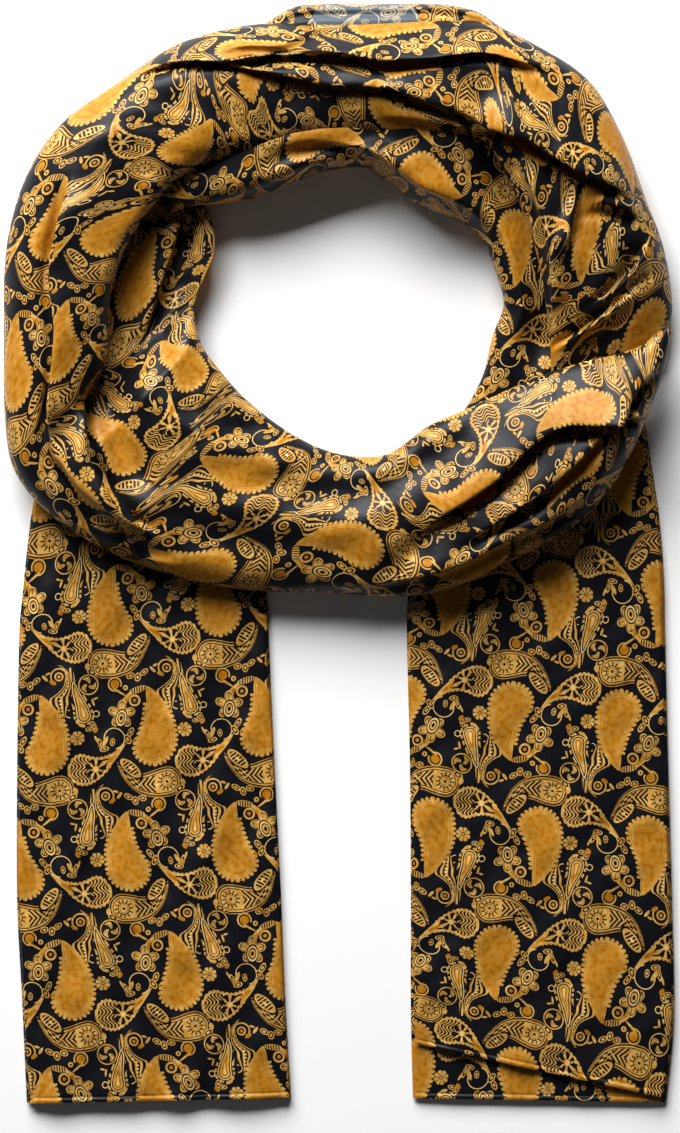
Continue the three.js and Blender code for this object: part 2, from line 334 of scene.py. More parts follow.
@dataclass(frozen=True)
class Roundness:
    """The section of a band: a flattened tube, open along a slit beneath.

    Attributes:
        bulge: height of its widest place, as a share of its own height.
        square: how square its top edges are; the top follows the root of 1 - |e|^square.
        flat: share of the underside that lies flat.
        tuck: how far its cloth goes on beneath from each edge, in units of the half turn over the top.
        foot: how far its underside is held off whatever it lies on, mm.
    """

    bulge: float = 0.38
    square: float = 2.6
    flat: float = 0.6
    tuck: tuple[float, float] = (0.3, 0.3)
    foot: float = 0.7


@dataclass
class Grid:
    """A stretch of cloth as a grid: places in mm, outward normals, and where each point lies on the flat cloth, mm."""

    points: Array
    normals: Array
    cloth: Array

    def part(self, first: int, last: int) -> "Grid":
        """The lines from first to last, both included."""
        return Grid(*(a[first : last + 1] for a in (self.points, self.normals, self.cloth)))

    def cut(self) -> tuple[float, float]:
        """Mean width across and mean length along the cloth, in metres."""
        width = steps_along(self.points, 1)[:, -1].mean()
        length = steps_along(self.points, 0)[-1].mean()
        return float(width) * MM, float(length) * MM


@dataclass(frozen=True)
class PrintPlace:
    """How the print lies on a band.

    Attributes:
        row: row of a place where the print's own place is known.
        place: place across the band there.
        across: print place there across the repeat, mm.
        along: print place there along the repeat, mm.
        run: 1 where the print runs with the rows, -1 where it runs against them.
        turn: how far the print is turned on the band, in degrees.
    """

    row: float
    place: float
    across: float = 0.0
    along: float = 0.0
    run: float = 1.0
    turn: float = 0.0


@dataclass(frozen=True)
class Band:
    """A folded band of silk laid along a run of sections.

    Attributes:
        sections: one row for each section, as (outer x, outer y, underside there, inner x, inner y, underside
            there, crest), in mm.
        printing: how the print lies on it.
        folds: its folds and ledges.
        form: the form of its section.
        ripple: its slight unevenness.
        step: grid spacing in mm, along and across.
        hem: width of a rolled hem across the last row, mm, or 0 for none.
    """

    sections: tuple[tuple[float, ...], ...]
    printing: PrintPlace
    folds: tuple[Fold | Ledge, ...] = ()
    form: Roundness = Roundness()
    ripple: Ripple = Ripple()
    step: float = 1.5
    hem: float = 0.0

    def columns(self, rows: Array) -> Array:
        """The section values at rows that needn't be whole."""
        table = np.array(self.sections)
        return through(rows, np.arange(len(table), dtype=float), table)

    def surface(self, rows: Array, turns: Array) -> Array:
        """Points of the band's skin.

        A turn of 0 is the outer edge and 1 the inner one; the place across is (1 - cos(pi turn)) / 2. Between them
        the skin passes over the top: underside + lift (bulge + (1 - bulge) dome) + folds. Past either edge it curls
        beneath: underside + lift bulge (1 - sole). The hem adds a low roll near the last row.

        Args:
            rows: rows of the sections.
            turns: how far round the section.

        Returns:
            Grid of points in mm, rows by turns by 3.
        """
        form = self.form
        c = self.columns(rows)
        outer, inner = c[:, 0:2], c[:, 3:5]
        width = np.linalg.norm(inner - outer, axis=1)
        place = np.repeat(((1.0 - np.cos(np.pi * turns)) / 2.0)[None, :], len(rows), axis=0)
        edge = np.abs(2.0 * place - 1.0)
        over = ((turns >= 0.0) & (turns <= 1.0))[None, :]
        dome = np.sqrt(np.clip(1.0 - edge**form.square, 0.0, 1.0))
        sole = np.sqrt(1.0 - np.clip((edge - form.flat) / (1.0 - form.flat), 0.0, 1.0) ** 2)
        foot = c[:, 2:3] * (1.0 - place) + c[:, 5:6] * place + form.foot
        lift = c[:, 6:7] - foot
        middle = np.column_stack([(outer + inner) / 2.0, np.zeros(len(rows))])
        along = steps_along(middle[:, None, :], 0)
        height = self.ripple.apply(along, place * width[:, None]) * np.minimum(1.0, width[:, None] / FULL_RIPPLE)
        shift = np.zeros_like(height)
        for fold in self.folds:
            rise, lean = fold.apply(rows, place, width)
            height, shift = height + rise, shift + lean
        if self.hem:
            left = along[-1] - along
            roll = np.exp(-(((left - HEM_ROLL[1] * self.hem) / (HEM_ROLL[2] * self.hem)) ** 2))
            dip = np.exp(-(((left - HEM_DIP[1] * self.hem) / HEM_DIP[2]) ** 2))
            height = height + HEM_ROLL[0] * roll - HEM_DIP[0] * dip
        soft = np.clip(dome * 1.25, 0.0, 1.0)  # the folds fade out down the edges
        top = foot + lift * (form.bulge + (1.0 - form.bulge) * dome) + height * soft
        low = foot + lift * form.bulge * (1.0 - sole)
        z = np.where(over, np.maximum(top, low + 0.6 * dome), low)
        across = place + np.where(over, shift * soft, 0.0) / np.maximum(width, 1.0)[:, None]
        xy = outer[:, None, :] + (inner - outer)[:, None, :] * across[..., None]
        return np.concatenate([xy, z[..., None]], axis=-1)

    def clock(self, rows: Array, places: Array) -> Array:
        """Running length along the cloth at each point of a grid.

        A band's print is timed along its middle line. Where a fold parts it, the cloth on either side is timed along
        the middle of its own side instead, so neither side's print is much stretched in a bend.

        Args:
            rows: closely spaced rows.
            places: place of each point across the band.

        Returns:
            A grid of lengths in mm.
        """
        c = self.columns(rows)
        outer, inner = c[:, 0:2], c[:, 3:5]
        width = np.linalg.norm(inner - outer, axis=1)

        def run(part: Array) -> Array:
            """Running length at a place across that changes from row to row."""
            hops = np.diff(outer, axis=0) * (1.0 - part[:-1, None]) + np.diff(inner, axis=0) * part[:-1, None]
            return running(np.linalg.norm(hops, axis=1))

        partings = [fold for fold in self.folds if fold.agree is not None]
        high = np.full(len(rows), 1.0)
        for fold in partings:
            high = high - fold.share(rows) * (1.0 - track_place(fold.track, rows))
        first = run(0.5 * high)
        along = np.repeat(first[:, None], places.shape[1], axis=1)
        for fold in partings:
            apart = run(0.5 * high + 0.5 * fold.share(rows)) - first
            along = along + fold.past(rows, places, width) * (apart - np.interp(fold.agree, rows, apart))[:, None]
        return along

    def lines(self) -> Array:
        """Rows of the grid's lines: about step mm apart, and closer where a hem needs it."""
        whole = np.linspace(0.0, len(self.sections) - 1.0, 24 * len(self.sections))  # 24 looks at each section
        c = self.columns(whole)
        centre = (c[:, 0:2] + c[:, 3:5]) / 2.0
        run = running(np.linalg.norm(np.diff(centre, axis=0), axis=1))
        fine = 3.0 * self.hem
        at = np.linspace(0.0, run[-1] - fine, int(round((run[-1] - fine) / self.step)) + 1)
        if fine:
            at = np.concatenate([at, np.linspace(run[-1] - fine, run[-1], int(fine / HEM_STEP))[1:]])
        return np.interp(at, run, whole)

    def grid(self) -> tuple[Array, Grid]:
        """The whole band, evenly spaced along and across its real length of cloth.

        Each line of the grid is laid out with many points, its running length is measured round the section, and
        the even points are read off that length. Cloth places are that length across and the clock's along. Where a
        fold parts the print, the cloth on the neck side is measured from the inner edge instead of the outer one.

        Returns:
            The rows of its lines, and the band as a grid.
        """
        rows = self.lines()
        tuck = self.form.tuck
        turns = np.linspace(-tuck[0], 1.0 + tuck[1], AROUND)
        dense = self.surface(rows, turns)
        length = steps_along(dense, 1)
        across_count = int(round(length[:, -1].max() / self.step)) + 1
        wanted = np.linspace(0.0, 1.0, across_count)[None, :] * length[:, -1:]
        turn_at = np.stack([np.interp(w, s, turns) for w, s in zip(wanted, length)])
        points = np.stack([
            np.stack([np.interp(w, s, line[:, k]) for k in range(3)], axis=-1)
            for w, s, line in zip(wanted, length, dense)
        ])
        place = (1.0 - np.cos(np.pi * np.clip(turn_at, 0.0, 1.0))) / 2.0
        zero = np.array([np.interp(0.0, turns, s) for s in length])
        width = np.linalg.norm(self.columns(rows)[:, 3:5] - self.columns(rows)[:, 0:2], axis=1)
        across = wanted - zero[:, None] + sum(f.swallowed(rows, place, width) for f in self.folds)
        reach = np.array([np.interp(1.0, turns, s) for s in length]) - zero
        ends = np.ones((len(rows), 1))
        reach = reach + sum(f.swallowed(rows, ends, width)[:, 0] for f in self.folds)
        for fold in self.folds:
            if fold.agree is not None:
                drift = running(np.diff(reach) * fold.share(rows)[:-1])
                across = across - fold.past(rows, place, width) * (drift - np.interp(fold.agree, rows, drift))[:, None]
        along = self.clock(rows, place)
        printing = self.printing
        line = int(np.argmin(np.abs(rows - printing.row)))
        column = int(np.argmin(np.abs(turn_at[line] - math.acos(1.0 - 2.0 * printing.place) / math.pi)))
        du = across - across[line, column]
        dv = (along - along[line, column]) * printing.run
        turn = math.radians(printing.turn)
        cloth = np.stack(
            [
                du * math.cos(turn) + dv * math.sin(turn) + printing.across,
                dv * math.cos(turn) - du * math.sin(turn) + printing.along,
            ],
            axis=-1,
        )
        side = np.gradient(points, axis=1)
        ahead = np.gradient(points, axis=0)
        normals = np.cross(ahead, side)
        normals /= np.maximum(np.linalg.norm(normals, axis=-1, keepdims=True), 1e-9)
        middle = across_count // 2
        if normals[len(rows) // 2, middle, 2] < 0.0:
            normals = -normals
        return rows, Grid(points, normals, cloth)


def shell(name: str, grid: Grid, wall: float) -> bpy.types.Object:
    """A thin closed shell on a grid of cloth.

    The outer skin is the grid. The inner skin is the grid moved wall mm against its normals, and a strip closes the
    four edges. The grid's own normals are kept, so that two parts of one band meet without a visible join.

    Args:
        name: the piece's name.
        grid: its cloth.
        wall: thickness of the cloth, mm.

    Returns:
        The new object, with its place on the flat cloth as the UV map "cloth".
    """
    n, m = grid.points.shape[:2]
    inner = grid.points - grid.normals * wall
    vertices = np.concatenate([grid.points.reshape(-1, 3), inner.reshape(-1, 3)]) * MM
    index = np.arange(n * m).reshape(n, m)
    outer_faces = np.stack([index[:-1, :-1], index[:-1, 1:], index[1:, 1:], index[1:, :-1]], axis=-1).reshape(-1, 4)
    a, b, c = (grid.points.reshape(-1, 3)[outer_faces[:, k]] for k in (0, 1, 2))
    facing = (np.cross(b - a, c - a) * grid.normals.reshape(-1, 3)[outer_faces[:, 0]]).sum()
    rim = np.concatenate([index[0, :], index[1:, -1], index[-1, -2::-1], index[-2:0:-1, 0]])
    after = np.roll(rim, -1)
    rim_faces = np.stack([after, rim, rim + n * m, after + n * m], axis=-1)
    if facing < 0.0:
        outer_faces, rim_faces = outer_faces[:, ::-1], rim_faces[:, ::-1]
    faces = np.concatenate([outer_faces, outer_faces[:, ::-1] + n * m, rim_faces])
    mesh = bpy.data.meshes.new(name)
    mesh.vertices.add(len(vertices))
    mesh.vertices.foreach_set("co", vertices.ravel())
    mesh.loops.add(faces.size)
    mesh.loops.foreach_set("vertex_index", faces.ravel().astype(np.int32))
    mesh.polygons.add(len(faces))
    mesh.polygons.foreach_set("loop_start", np.arange(0, faces.size, 4, dtype=np.int32))
    mesh.polygons.foreach_set("use_smooth", np.ones(len(faces), dtype=bool))
    layer = mesh.uv_layers.new(name="cloth")
    cloth = np.concatenate([grid.cloth.reshape(-1, 2)] * 2)
    layer.data.foreach_set("uv", cloth[faces.ravel()].ravel())
    mesh.update(calc_edges=True)
    mesh.validate()
    normals = np.concatenate([grid.normals.reshape(-1, 3), -grid.normals.reshape(-1, 3)])
    mesh.normals_split_custom_set_from_vertices(normals.tolist())
    piece = bpy.data.objects.new(name, mesh)
    bpy.context.scene.collection.objects.link(piece)
    return piece


# ---- the print ----------------------------------------------------------------------------------------------------


@dataclass(frozen=True)
class Term:
    """A number that shader nodes work out, so that a pattern can be written as sums.

    Attributes:
        tree: the material's nodes.
        socket: the output that carries the number.
    """

    tree: Nodes
    socket: Socket

    def math(self, operation: str, *others: "Term | float") -> "Term":
        """One Math node.

        Args:
            operation: the node's operation.
            others: its further inputs.

        Returns:
            Its result.
        """
        node = self.tree.nodes.new("ShaderNodeMath")
        node.operation = operation
        for slot, value in zip(node.inputs, (self, *others)):
            if isinstance(value, Term):
                self.tree.links.new(value.socket, slot)
            else:
                slot.default_value = value
        return Term(self.tree, node.outputs[0])

    def __add__(self, other: "Term | float") -> "Term":
        """Sum."""
        return self.math("ADD", other)

    def __sub__(self, other: "Term | float") -> "Term":
        """Difference."""
        return self.math("SUBTRACT", other)

    def __mul__(self, other: "Term | float") -> "Term":
        """Product."""
        return self.math("MULTIPLY", other)

    def __truediv__(self, other: "Term | float") -> "Term":
        """Quotient."""
        return self.math("DIVIDE", other)

    def __lt__(self, other: "Term | float") -> "Term":
        """1 where it is less."""
        return self.math("LESS_THAN", other)

    def __gt__(self, other: "Term | float") -> "Term":
        """1 where it is more."""
        return self.math("GREATER_THAN", other)

    def scaled(self, factor: float, offset: "Term | float") -> "Term":
        """Factor times it, plus offset."""
        return self.math("MULTIPLY_ADD", factor, offset)

    def size(self) -> "Term":
        """Its size without its sign."""
        return self.math("ABSOLUTE")

    def between(self, low: float, high: float) -> "Term":
        """1 where it lies from low to high."""
        return self.math("COMPARE", (low + high) / 2.0, (high - low) / 2.0)

    def wave(self, pitch: float, phase: float = 0.0) -> "Term":
        """A sine of it that repeats every pitch."""
        return self.scaled(2.0 * math.pi / pitch, phase).math("SINE")

    def curve(self, points: Pairs) -> "Term":
        """A smooth curve of it through points.

        Args:
            points: (its value, the result) pairs, in order.

        Returns:
            The curve's value.
        """
        low, high = points[0][0], points[-1][0]
        least, most = min(y for _, y in points), max(y for _, y in points)
        share = self.scaled(1.0 / (high - low), -low / (high - low))
        node = self.tree.nodes.new("ShaderNodeFloatCurve")
        node.mapping.extend = "HORIZONTAL"
        line = node.mapping.curves[0]
        spots = [((x - low) / (high - low), (y - least) / (most - least)) for x, y in points]
        line.points[0].location, line.points[-1].location = spots[0], spots[-1]
        for x, y in spots[1:-1]:
            line.points.new(x, y)
        node.mapping.update()
        self.tree.links.new(share.socket, node.inputs["Value"])
        return Term(self.tree, node.outputs[0]).scaled(most - least, least)


@dataclass(frozen=True)
class Spot:
    """A place on the repeat, with its two parts.

    Attributes:
        x: across the repeat, mm.
        y: along the repeat, mm.
        joined: both as one vector.
    """

    x: Term
    y: Term
    joined: Socket

    def reach(self, centre: tuple[float, float], radii: tuple[float, float] = (1.0, 1.0), turn: float = 0.0) -> Term:
        """How far a place lies out in an ellipse: 0 at its centre and 1 on its edge.

        Args:
            centre: its centre, mm.
            radii: its two half widths, mm.
            turn: how far it is turned, in degrees.

        Returns:
            The distance.
        """
        tree = self.x.tree
        frame_of = tree.nodes.new("ShaderNodeMapping")
        frame_of.vector_type = "TEXTURE"
        frame_of.inputs["Location"].default_value = (*centre, 0.0)
        frame_of.inputs["Rotation"].default_value = (0.0, 0.0, math.radians(turn))
        frame_of.inputs["Scale"].default_value = (*radii, 1.0)
        tree.links.new(self.joined, frame_of.inputs["Vector"])
        length = tree.nodes.new("ShaderNodeVectorMath")
        length.operation = "LENGTH"
        tree.links.new(frame_of.outputs[0], length.inputs[0])
        return Term(tree, length.outputs["Value"])

    def angle(self, centre: tuple[float, float]) -> Term:
        """Direction of a place from a centre, in radians."""
        return (self.y - centre[1]).math("ARCTAN2", self.x - centre[0])

    def rays(self, centre: tuple[float, float], count: float, phase: float = 0.0) -> Term:
        """Rays about a centre, as |sin(count angle + phase)|."""
        return self.angle(centre).scaled(count, phase).math("SINE").size()


@dataclass(frozen=True)
class Window:
    """A moving window on the repeat, as wide and high as one repeat, in which a group of motifs is drawn whole.

    Rows of the repeat are pitch[1] apart. Every second row is turned left to right and moved by shift.

    Attributes:
        centre: the window's middle, measured from the middle of a big boteh, mm.
        moved: how far the group is moved from where its own places put it, mm.
        pitch: width and height of the repeat, mm.
        shift: how far the turned rows are moved across, mm.
    """

    centre: tuple[float, float]
    moved: tuple[float, float] = (0.0, 0.0)
    pitch: tuple[float, float] = (53.0, 60.0)
    shift: float = 18.0

    def spot(self, u: Term, v: Term) -> Spot:
        """The place in the window for a place on the cloth.

        Args:
            u: place across the cloth, mm.
            v: place along the cloth, mm.

        Returns:
            The place on the repeat.
        """
        wide, high = self.pitch
        cx, cy = self.centre
        a = v.scaled(1.0 / high, 0.5 - (cy + self.moved[1]) / high)
        odd = a.math("FLOOR").math("PINGPONG", 1.0)
        y = a.math("FRACT").scaled(high, cy - high / 2.0)
        turned = odd.scaled(-self.shift, u) * odd.scaled(-2.0, 1.0)
        x = (turned - self.moved[0]).math("WRAP", cx + wide / 2.0, cx - wide / 2.0)
        join = u.tree.nodes.new("ShaderNodeCombineXYZ")
        u.tree.links.new(x.socket, join.inputs[0])
        u.tree.links.new(y.socket, join.inputs[1])
        return Spot(x, y, join.outputs[0])

class Tone(Enum):
    """How light a printed mark is, from the ground to the palest gold."""

    GROUND = 0.0
    BROWN = 0.44
    ORANGE = 0.5
    HONEY = 0.53
    FLECK = 0.585
    SAND = 0.62
    EDGING = 0.66
    LOBES = 0.7
    LINE = 0.72
    GOLD = 0.75
    PALE = 1.0


class Leaf(Enum):
    """A kind of small leaf or petal: plain gold, plain orange, or gold with a dark line round its heart."""

    GOLD = "gold"
    ORANGE = "orange"
    VEINED = "veined"


class Ink:
    """A print in the making, as one number: each mark is laid over the marks before it.

    Attributes:
        tree: the material's nodes.
        tone: the tone so far, or None for bare ground.
    """

    def __init__(self, tree: Nodes, tone: Socket | None = None) -> None:
        """Start with bare ground, or go on with a print.

        Args:
            tree: the material's nodes.
            tone: the print to go on with, if any.
        """
        self.tree = tree
        self.tone = tone

    def mark(self, where: Term, tone: Tone) -> None:
        """Lay one tone where a mask is 1.

        Args:
            where: the mask.
            tone: the tone to lay.
        """
        mix = self.tree.nodes.new("ShaderNodeMix")
        mix.data_type = "FLOAT"
        mix.inputs[2].default_value = 0.0
        mix.inputs[3].default_value = tone.value
        self.tree.links.new(where.socket, mix.inputs[0])
        if self.tone is not None:
            self.tree.links.new(self.tone, mix.inputs[2])
        self.tone = mix.outputs[0]


@dataclass(frozen=True)
class Boteh:
    """The curved drop shape of a paisley, drawn along one axis of the repeat.

    Attributes:
        middle: (along, across) points of its middle line, mm.
        half: (along, half width) points, mm.
        round_end: place along it past which its blunt end is round.
        lying: whether its axis lies across the repeat.
        blunt_high: whether its blunt end is the one at high values.
    """

    middle: Pairs
    half: Pairs
    round_end: float
    lying: bool = False
    blunt_high: bool = False

    def margin(self, spot: Spot) -> tuple[Term, Term, Term]:
        """How far inside its outline a place is.

        The margin is half(along) - length(across - middle(along), part of along past the round end).

        Args:
            spot: the place on the repeat.

        Returns:
            The margin in mm, the distance across from the middle line, and the part past the round end.
        """
        along, across = (spot.x, spot.y) if self.lying else (spot.y, spot.x)
        off = across - along.curve(self.middle)
        wide = along.curve(self.half)
        past = (along - self.round_end).math("MAXIMUM" if self.blunt_high else "MINIMUM", 0.0)
        out = (off * off + past * past).math("SQRT")
        return wide - out, off, past


BIG_BOTEH = Boteh(
    middle=((-17.0, 0.7), (-12.0, 0.6), (-6.0, -0.3), (0.0, -1.8), (5.0, -2.5), (10.0, -2.2), (15.0, -1.0),
            (21.5, 1.6)),
    half=((-17.0, 9.4), (-8.0, 9.4), (-5.0, 9.1), (0.0, 7.8), (4.7, 6.4), (10.0, 4.9), (15.5, 3.3), (19.0, 1.8),
          (21.5, -0.8)),
    round_end=-7.0,
)
SLIM_BOTEH = Boteh(
    middle=((8.0, 33.8), (12.0, 33.6), (16.0, 34.1), (20.0, 35.4), (24.0, 36.6), (30.0, 37.6)),
    half=((8.0, 3.1), (12.0, 3.1), (14.0, 2.9), (18.0, 2.3), (22.0, 1.6), (26.0, 1.0), (30.0, -0.6)),
    round_end=12.6,
)
SMALL_BOTEH = Boteh(
    middle=((-9.0, -25.4), (-2.3, -25.6), (4.0, -26.3), (9.0, -26.2), (13.0, -24.9), (16.5, -22.2), (19.0, -19.0),
            (21.5, -14.8)),
    half=((-9.0, 5.8), (-2.3, 5.8), (2.0, 5.5), (6.0, 4.6), (10.0, 3.7), (14.0, 2.8), (18.0, 1.8), (21.5, -0.8)),
    round_end=-2.3,
    lying=True,
)
CRESCENT = Boteh(
    middle=((13.0, -1.4), (17.0, -5.6), (21.0, -9.4), (25.0, -12.2), (29.0, -13.8), (33.0, -14.2), (36.0, -13.8),
            (43.5, -13.8)),
    half=((13.0, -0.7), (17.0, 1.5), (21.0, 2.4), (25.0, 3.7), (29.0, 5.1), (33.0, 6.6), (36.0, 7.3), (43.5, 7.3)),
    round_end=35.4,
    lying=True,
    blunt_high=True,
)
PLUME_MIDDLE = ((6.5, -8.4), (10.0, -8.8), (14.0, -8.5), (18.0, -8.1), (20.0, -9.4), (22.0, -11.0), (26.0, -12.6),
                (30.0, -12.6), (33.0, -11.0), (35.0, -8.8))
PLUME_HALF = ((6.5, 0.1), (10.0, 1.6), (14.0, 3.7), (17.5, 5.2), (20.0, 4.2), (22.0, 2.9), (26.0, 1.6), (30.0, 1.1),
              (33.0, 0.8), (35.0, 0.2))


class Paisley(Ink):
    """A traditional paisley charted one motif at a time: ten motifs in three windows, on a repeat of 53 by 60 mm.

    Attributes:
        spot: the place on the repeat, in the window of the motif that is being drawn.
    """

    spot: Spot

    def draw(self, u: Term, v: Term) -> Term:
        """Draw the whole repeat.

        Args:
            u: place across the cloth, mm.
            v: place along the cloth, mm.

        Returns:
            The margin of the big boteh, which its own shading follows.
        """
        for window, motifs in (
            (Window((5.0, -23.5), (-2.2, -0.6)), (self.small_boteh, self.companion)),
            (Window((32.0, 6.4), (0.3, -3.3)), (self.crescent, self.rosette, self.slim_boteh, self.scroll)),
            (Window((7.0, 7.4)), (self.plume, self.flower, self.hook)),
        ):
            self.spot = window.spot(u, v)
            for motif in motifs:
                motif()
        return self.big_boteh()

    def leaves(self, *rows: tuple[float, float, float, float, float, Leaf]) -> None:
        """Small oval leaves and petals.

        Args:
            rows: x, y, half length and half width in mm, direction in degrees, and kind of each.
        """
        for x, y, long, wide, turn, kind in rows:
            out = self.spot.reach((x, y), (long, wide), turn)
            self.mark(out < 0.9, Tone.ORANGE if kind is Leaf.ORANGE else Tone.GOLD)
            if kind is Leaf.VEINED:
                self.mark(out.between(0.35, 0.65), Tone.GROUND)

    def rings(self, centre: tuple[float, float], *bands: tuple[float, float, Tone], keep: Term | None = None) -> None:
        """Round lines about one centre.

        Args:
            centre: their centre, mm.
            bands: each line's inner and outer radius in mm, and its tone.
            keep: a mask that cuts them off, if any.
        """
        out = self.spot.reach(centre)
        for low, high, tone in bands:
            here = out.between(low, high)
            self.mark(here * keep if keep is not None else here, tone)

    def inwards(self, margin: Term, *steps: tuple[float, Tone]) -> None:
        """Lay tones one inside another.

        Args:
            margin: distance inside an outline, mm.
            steps: the margin at which each tone starts, from the outermost inwards.
        """
        for start, tone in steps:
            self.mark(margin > start, tone)

    def big_boteh(self) -> Term:
        """The big drop with its scalloped rim, lighter border and fine inner line.

        The rim is a row of lobes |sin(pi s / lobe)| along the outline's length s, as far up as its neck.

        Returns:
            The margin inside its outline, mm.
        """
        rim_radius, lobe, neck = 10.2, 2.35, 13.0
        margin, off, past = BIG_BOTEH.margin(self.spot)
        up = (self.spot.y - BIG_BOTEH.round_end).math("MAXIMUM", 0.0)
        run = past.math("ARCTAN2", off.size()).scaled(rim_radius, up)
        lobes = run.scaled(math.pi / lobe, 0.6).math("SINE").size()
        edge = margin + lobes.scaled(1.25, 0.75)
        low = self.spot.y < neck
        self.mark((edge > 0.0) * low, Tone.LOBES)
        self.mark(((lobes < 0.36) * margin.between(-1.5, -0.35)) * low, Tone.GROUND)
        self.inwards(margin, (0.0, Tone.EDGING), (0.95, Tone.BROWN), (1.25, Tone.LINE), (1.75, Tone.HONEY))
        return margin

    def plume(self) -> None:
        """The plume of fine parallel lines that sweeps up from the big boteh and curls over."""
        spot = self.spot
        share = (spot.x - spot.y.curve(PLUME_MIDDLE)) / spot.y.curve(PLUME_HALF)
        inside = (share.size() < 1.0) * spot.y.between(PLUME_HALF[0][0], PLUME_HALF[-1][0])
        self.mark(inside, Tone.GOLD)
        self.mark(inside * (share.wave(0.52) > -0.22), Tone.GROUND)
        self.mark(inside * (share.between(-0.17, 0.12) * (spot.y.wave(1.7) > 0.1)), Tone.PALE)
        self.rings(
            (-8.4, 29.2), (3.6, 4.3, Tone.GOLD), (1.5, 2.2, Tone.GOLD), (0.0, 0.8, Tone.ORANGE), keep=spot.y > 26.6
        )
        self.leaves(
            (-5.2, 26.6, 2.0, 1.1, 30.0, Leaf.ORANGE),
            (-1.5, 29.0, 2.1, 0.8, 50.0, Leaf.GOLD),
            (-3.1, 31.0, 1.5, 0.6, -20.0, Leaf.GOLD),
        )

    def flower(self) -> None:
        """The tulip beside the big boteh: pointed petals round an oval heart, on a stem from the boteh's tip."""
        self.leaves((11.9, 16.3, 4.8, 1.2, -42.0, Leaf.GOLD), (12.9, 14.2, 2.7, 1.0, -62.0, Leaf.ORANGE))
        spot, centre = self.spot, (15.2, 8.4)
        out = spot.reach(centre)
        star = spot.rays(centre, 2.5, 0.5).scaled(3.7, 3.3) - out
        self.mark(star > 0.0, Tone.GOLD)
        self.mark(star.between(0.7, 1.25) * (out > 2.4), Tone.GROUND)
        self.mark((spot.rays(centre, 5.0, 1.0) < 0.22) * out.between(3.4, 5.6), Tone.GROUND)
        heart = spot.reach((15.4, 6.5), (2.1, 3.2), 16.0)
        for size, tone in (
            (1.45, Tone.GROUND), (1.2, Tone.PALE), (0.92, Tone.GROUND), (0.7, Tone.GOLD), (0.36, Tone.GROUND)
        ):
            self.mark(heart < size, tone)
        self.rings((8.2, 14.6), (0.0, 3.2, Tone.GROUND), (1.9, 2.9, Tone.GOLD), (0.0, 0.9, Tone.ORANGE))
        bar = spot.reach((6.2, 19.7), (4.4, 1.5), -14.0)
        self.mark(bar < 1.0, Tone.GOLD)
        self.mark((bar < 0.92) * (spot.x.wave(1.25) > 0.0), Tone.GROUND)
        self.leaves(
            (11.5, -0.7, 2.9, 1.5, -56.0, Leaf.VEINED),
            (13.4, -4.0, 2.9, 1.7, 62.0, Leaf.VEINED),
            (9.5, -5.2, 1.8, 1.1, 10.0, Leaf.ORANGE),
        )

    def hook(self) -> None:
        """The orange bud in its curl, and the small ring beside its stem."""
        curl = (self.spot.x > 16.0).math("MAXIMUM", self.spot.y > 21.9)
        self.rings((17.4, 23.2), (2.9, 3.6, Tone.GOLD), keep=curl)
        self.rings((17.4, 23.2), (0.0, 2.2, Tone.ORANGE))
        self.leaves((15.5, 19.3, 4.0, 0.55, 34.0, Leaf.GOLD))
        self.rings((12.2, 21.1), (0.5, 1.25, Tone.GOLD))

    def crescent(self) -> None:
        """The crescent leaf with its fan and wavy lines, its thin curl and the leaf cluster in the curl."""
        spot, fan = self.spot, (29.6, -14.0)
        margin, off, _ = CRESCENT.margin(spot)
        out = spot.reach(fan)
        scallop = (spot.x.wave(4.2).size() * 0.7) * (spot.x > 22.0)
        self.mark((margin + scallop) > 0.0, Tone.GOLD)
        lines = (off.wave(7.0) * 1.3 + spot.x).wave(1.75) > -0.2
        self.mark((lines * (spot.x > 32.0)) * (margin > 0.8), Tone.GROUND)
        self.mark(((spot.rays(fan, 3.5, 0.4) > 0.6) * out.between(1.6, 5.2)) * (margin > 0.6), Tone.GROUND)
        self.mark(out < 1.1, Tone.PALE)
        for x, y, long, wide, turn, tone in (
            (21.8, -9.9, 3.6, 0.9, -34.0, Tone.ORANGE),
            (25.2, -13.4, 2.6, 0.5, -52.0, Tone.GROUND),
            (24.8, -9.8, 2.2, 0.45, -10.0, Tone.GROUND),
        ):
            self.mark(spot.reach((x, y), (long, wide), turn) < 1.0, tone)
        curl = (spot.y > 0.2).math("MAXIMUM", spot.x < 19.0)
        self.rings((19.6, 0.2), (4.85, 5.3, Tone.PALE), keep=curl)
        self.leaves(
            (20.6, -1.5, 1.3, 2.1, 8.0, Leaf.VEINED),
            (24.2, -0.9, 3.0, 1.1, -60.0, Leaf.GOLD),
            (26.4, -2.4, 3.8, 1.2, 72.0, Leaf.VEINED),
            (24.6, -4.6, 2.6, 1.4, -10.0, Leaf.VEINED),
            (28.4, 0.4, 2.2, 0.6, 66.0, Leaf.GOLD),
        )

    def rosette(self) -> None:
        """The small round flower and the lobed leaves above it."""
        centre = (37.6, 1.8)
        out = self.spot.reach(centre)
        rays = self.spot.rays(centre, 4.0)
        self.mark(rays.scaled(0.55, 3.0) > out, Tone.GOLD)
        self.mark((rays < 0.3) * out.between(1.0, 3.7), Tone.GROUND)
        self.mark(out.between(0.55, 0.95), Tone.GROUND)
        self.leaves(
            (29.4, 7.6, 2.4, 1.5, 66.0, Leaf.VEINED),
            (31.4, 5.8, 2.3, 1.3, -8.0, Leaf.VEINED),
            (28.4, 5.0, 1.7, 1.1, -50.0, Leaf.ORANGE),
            (35.0, 7.9, 2.0, 0.9, 20.0, Leaf.GOLD),
            (36.8, 9.6, 1.7, 0.7, 62.0, Leaf.GOLD),
        )

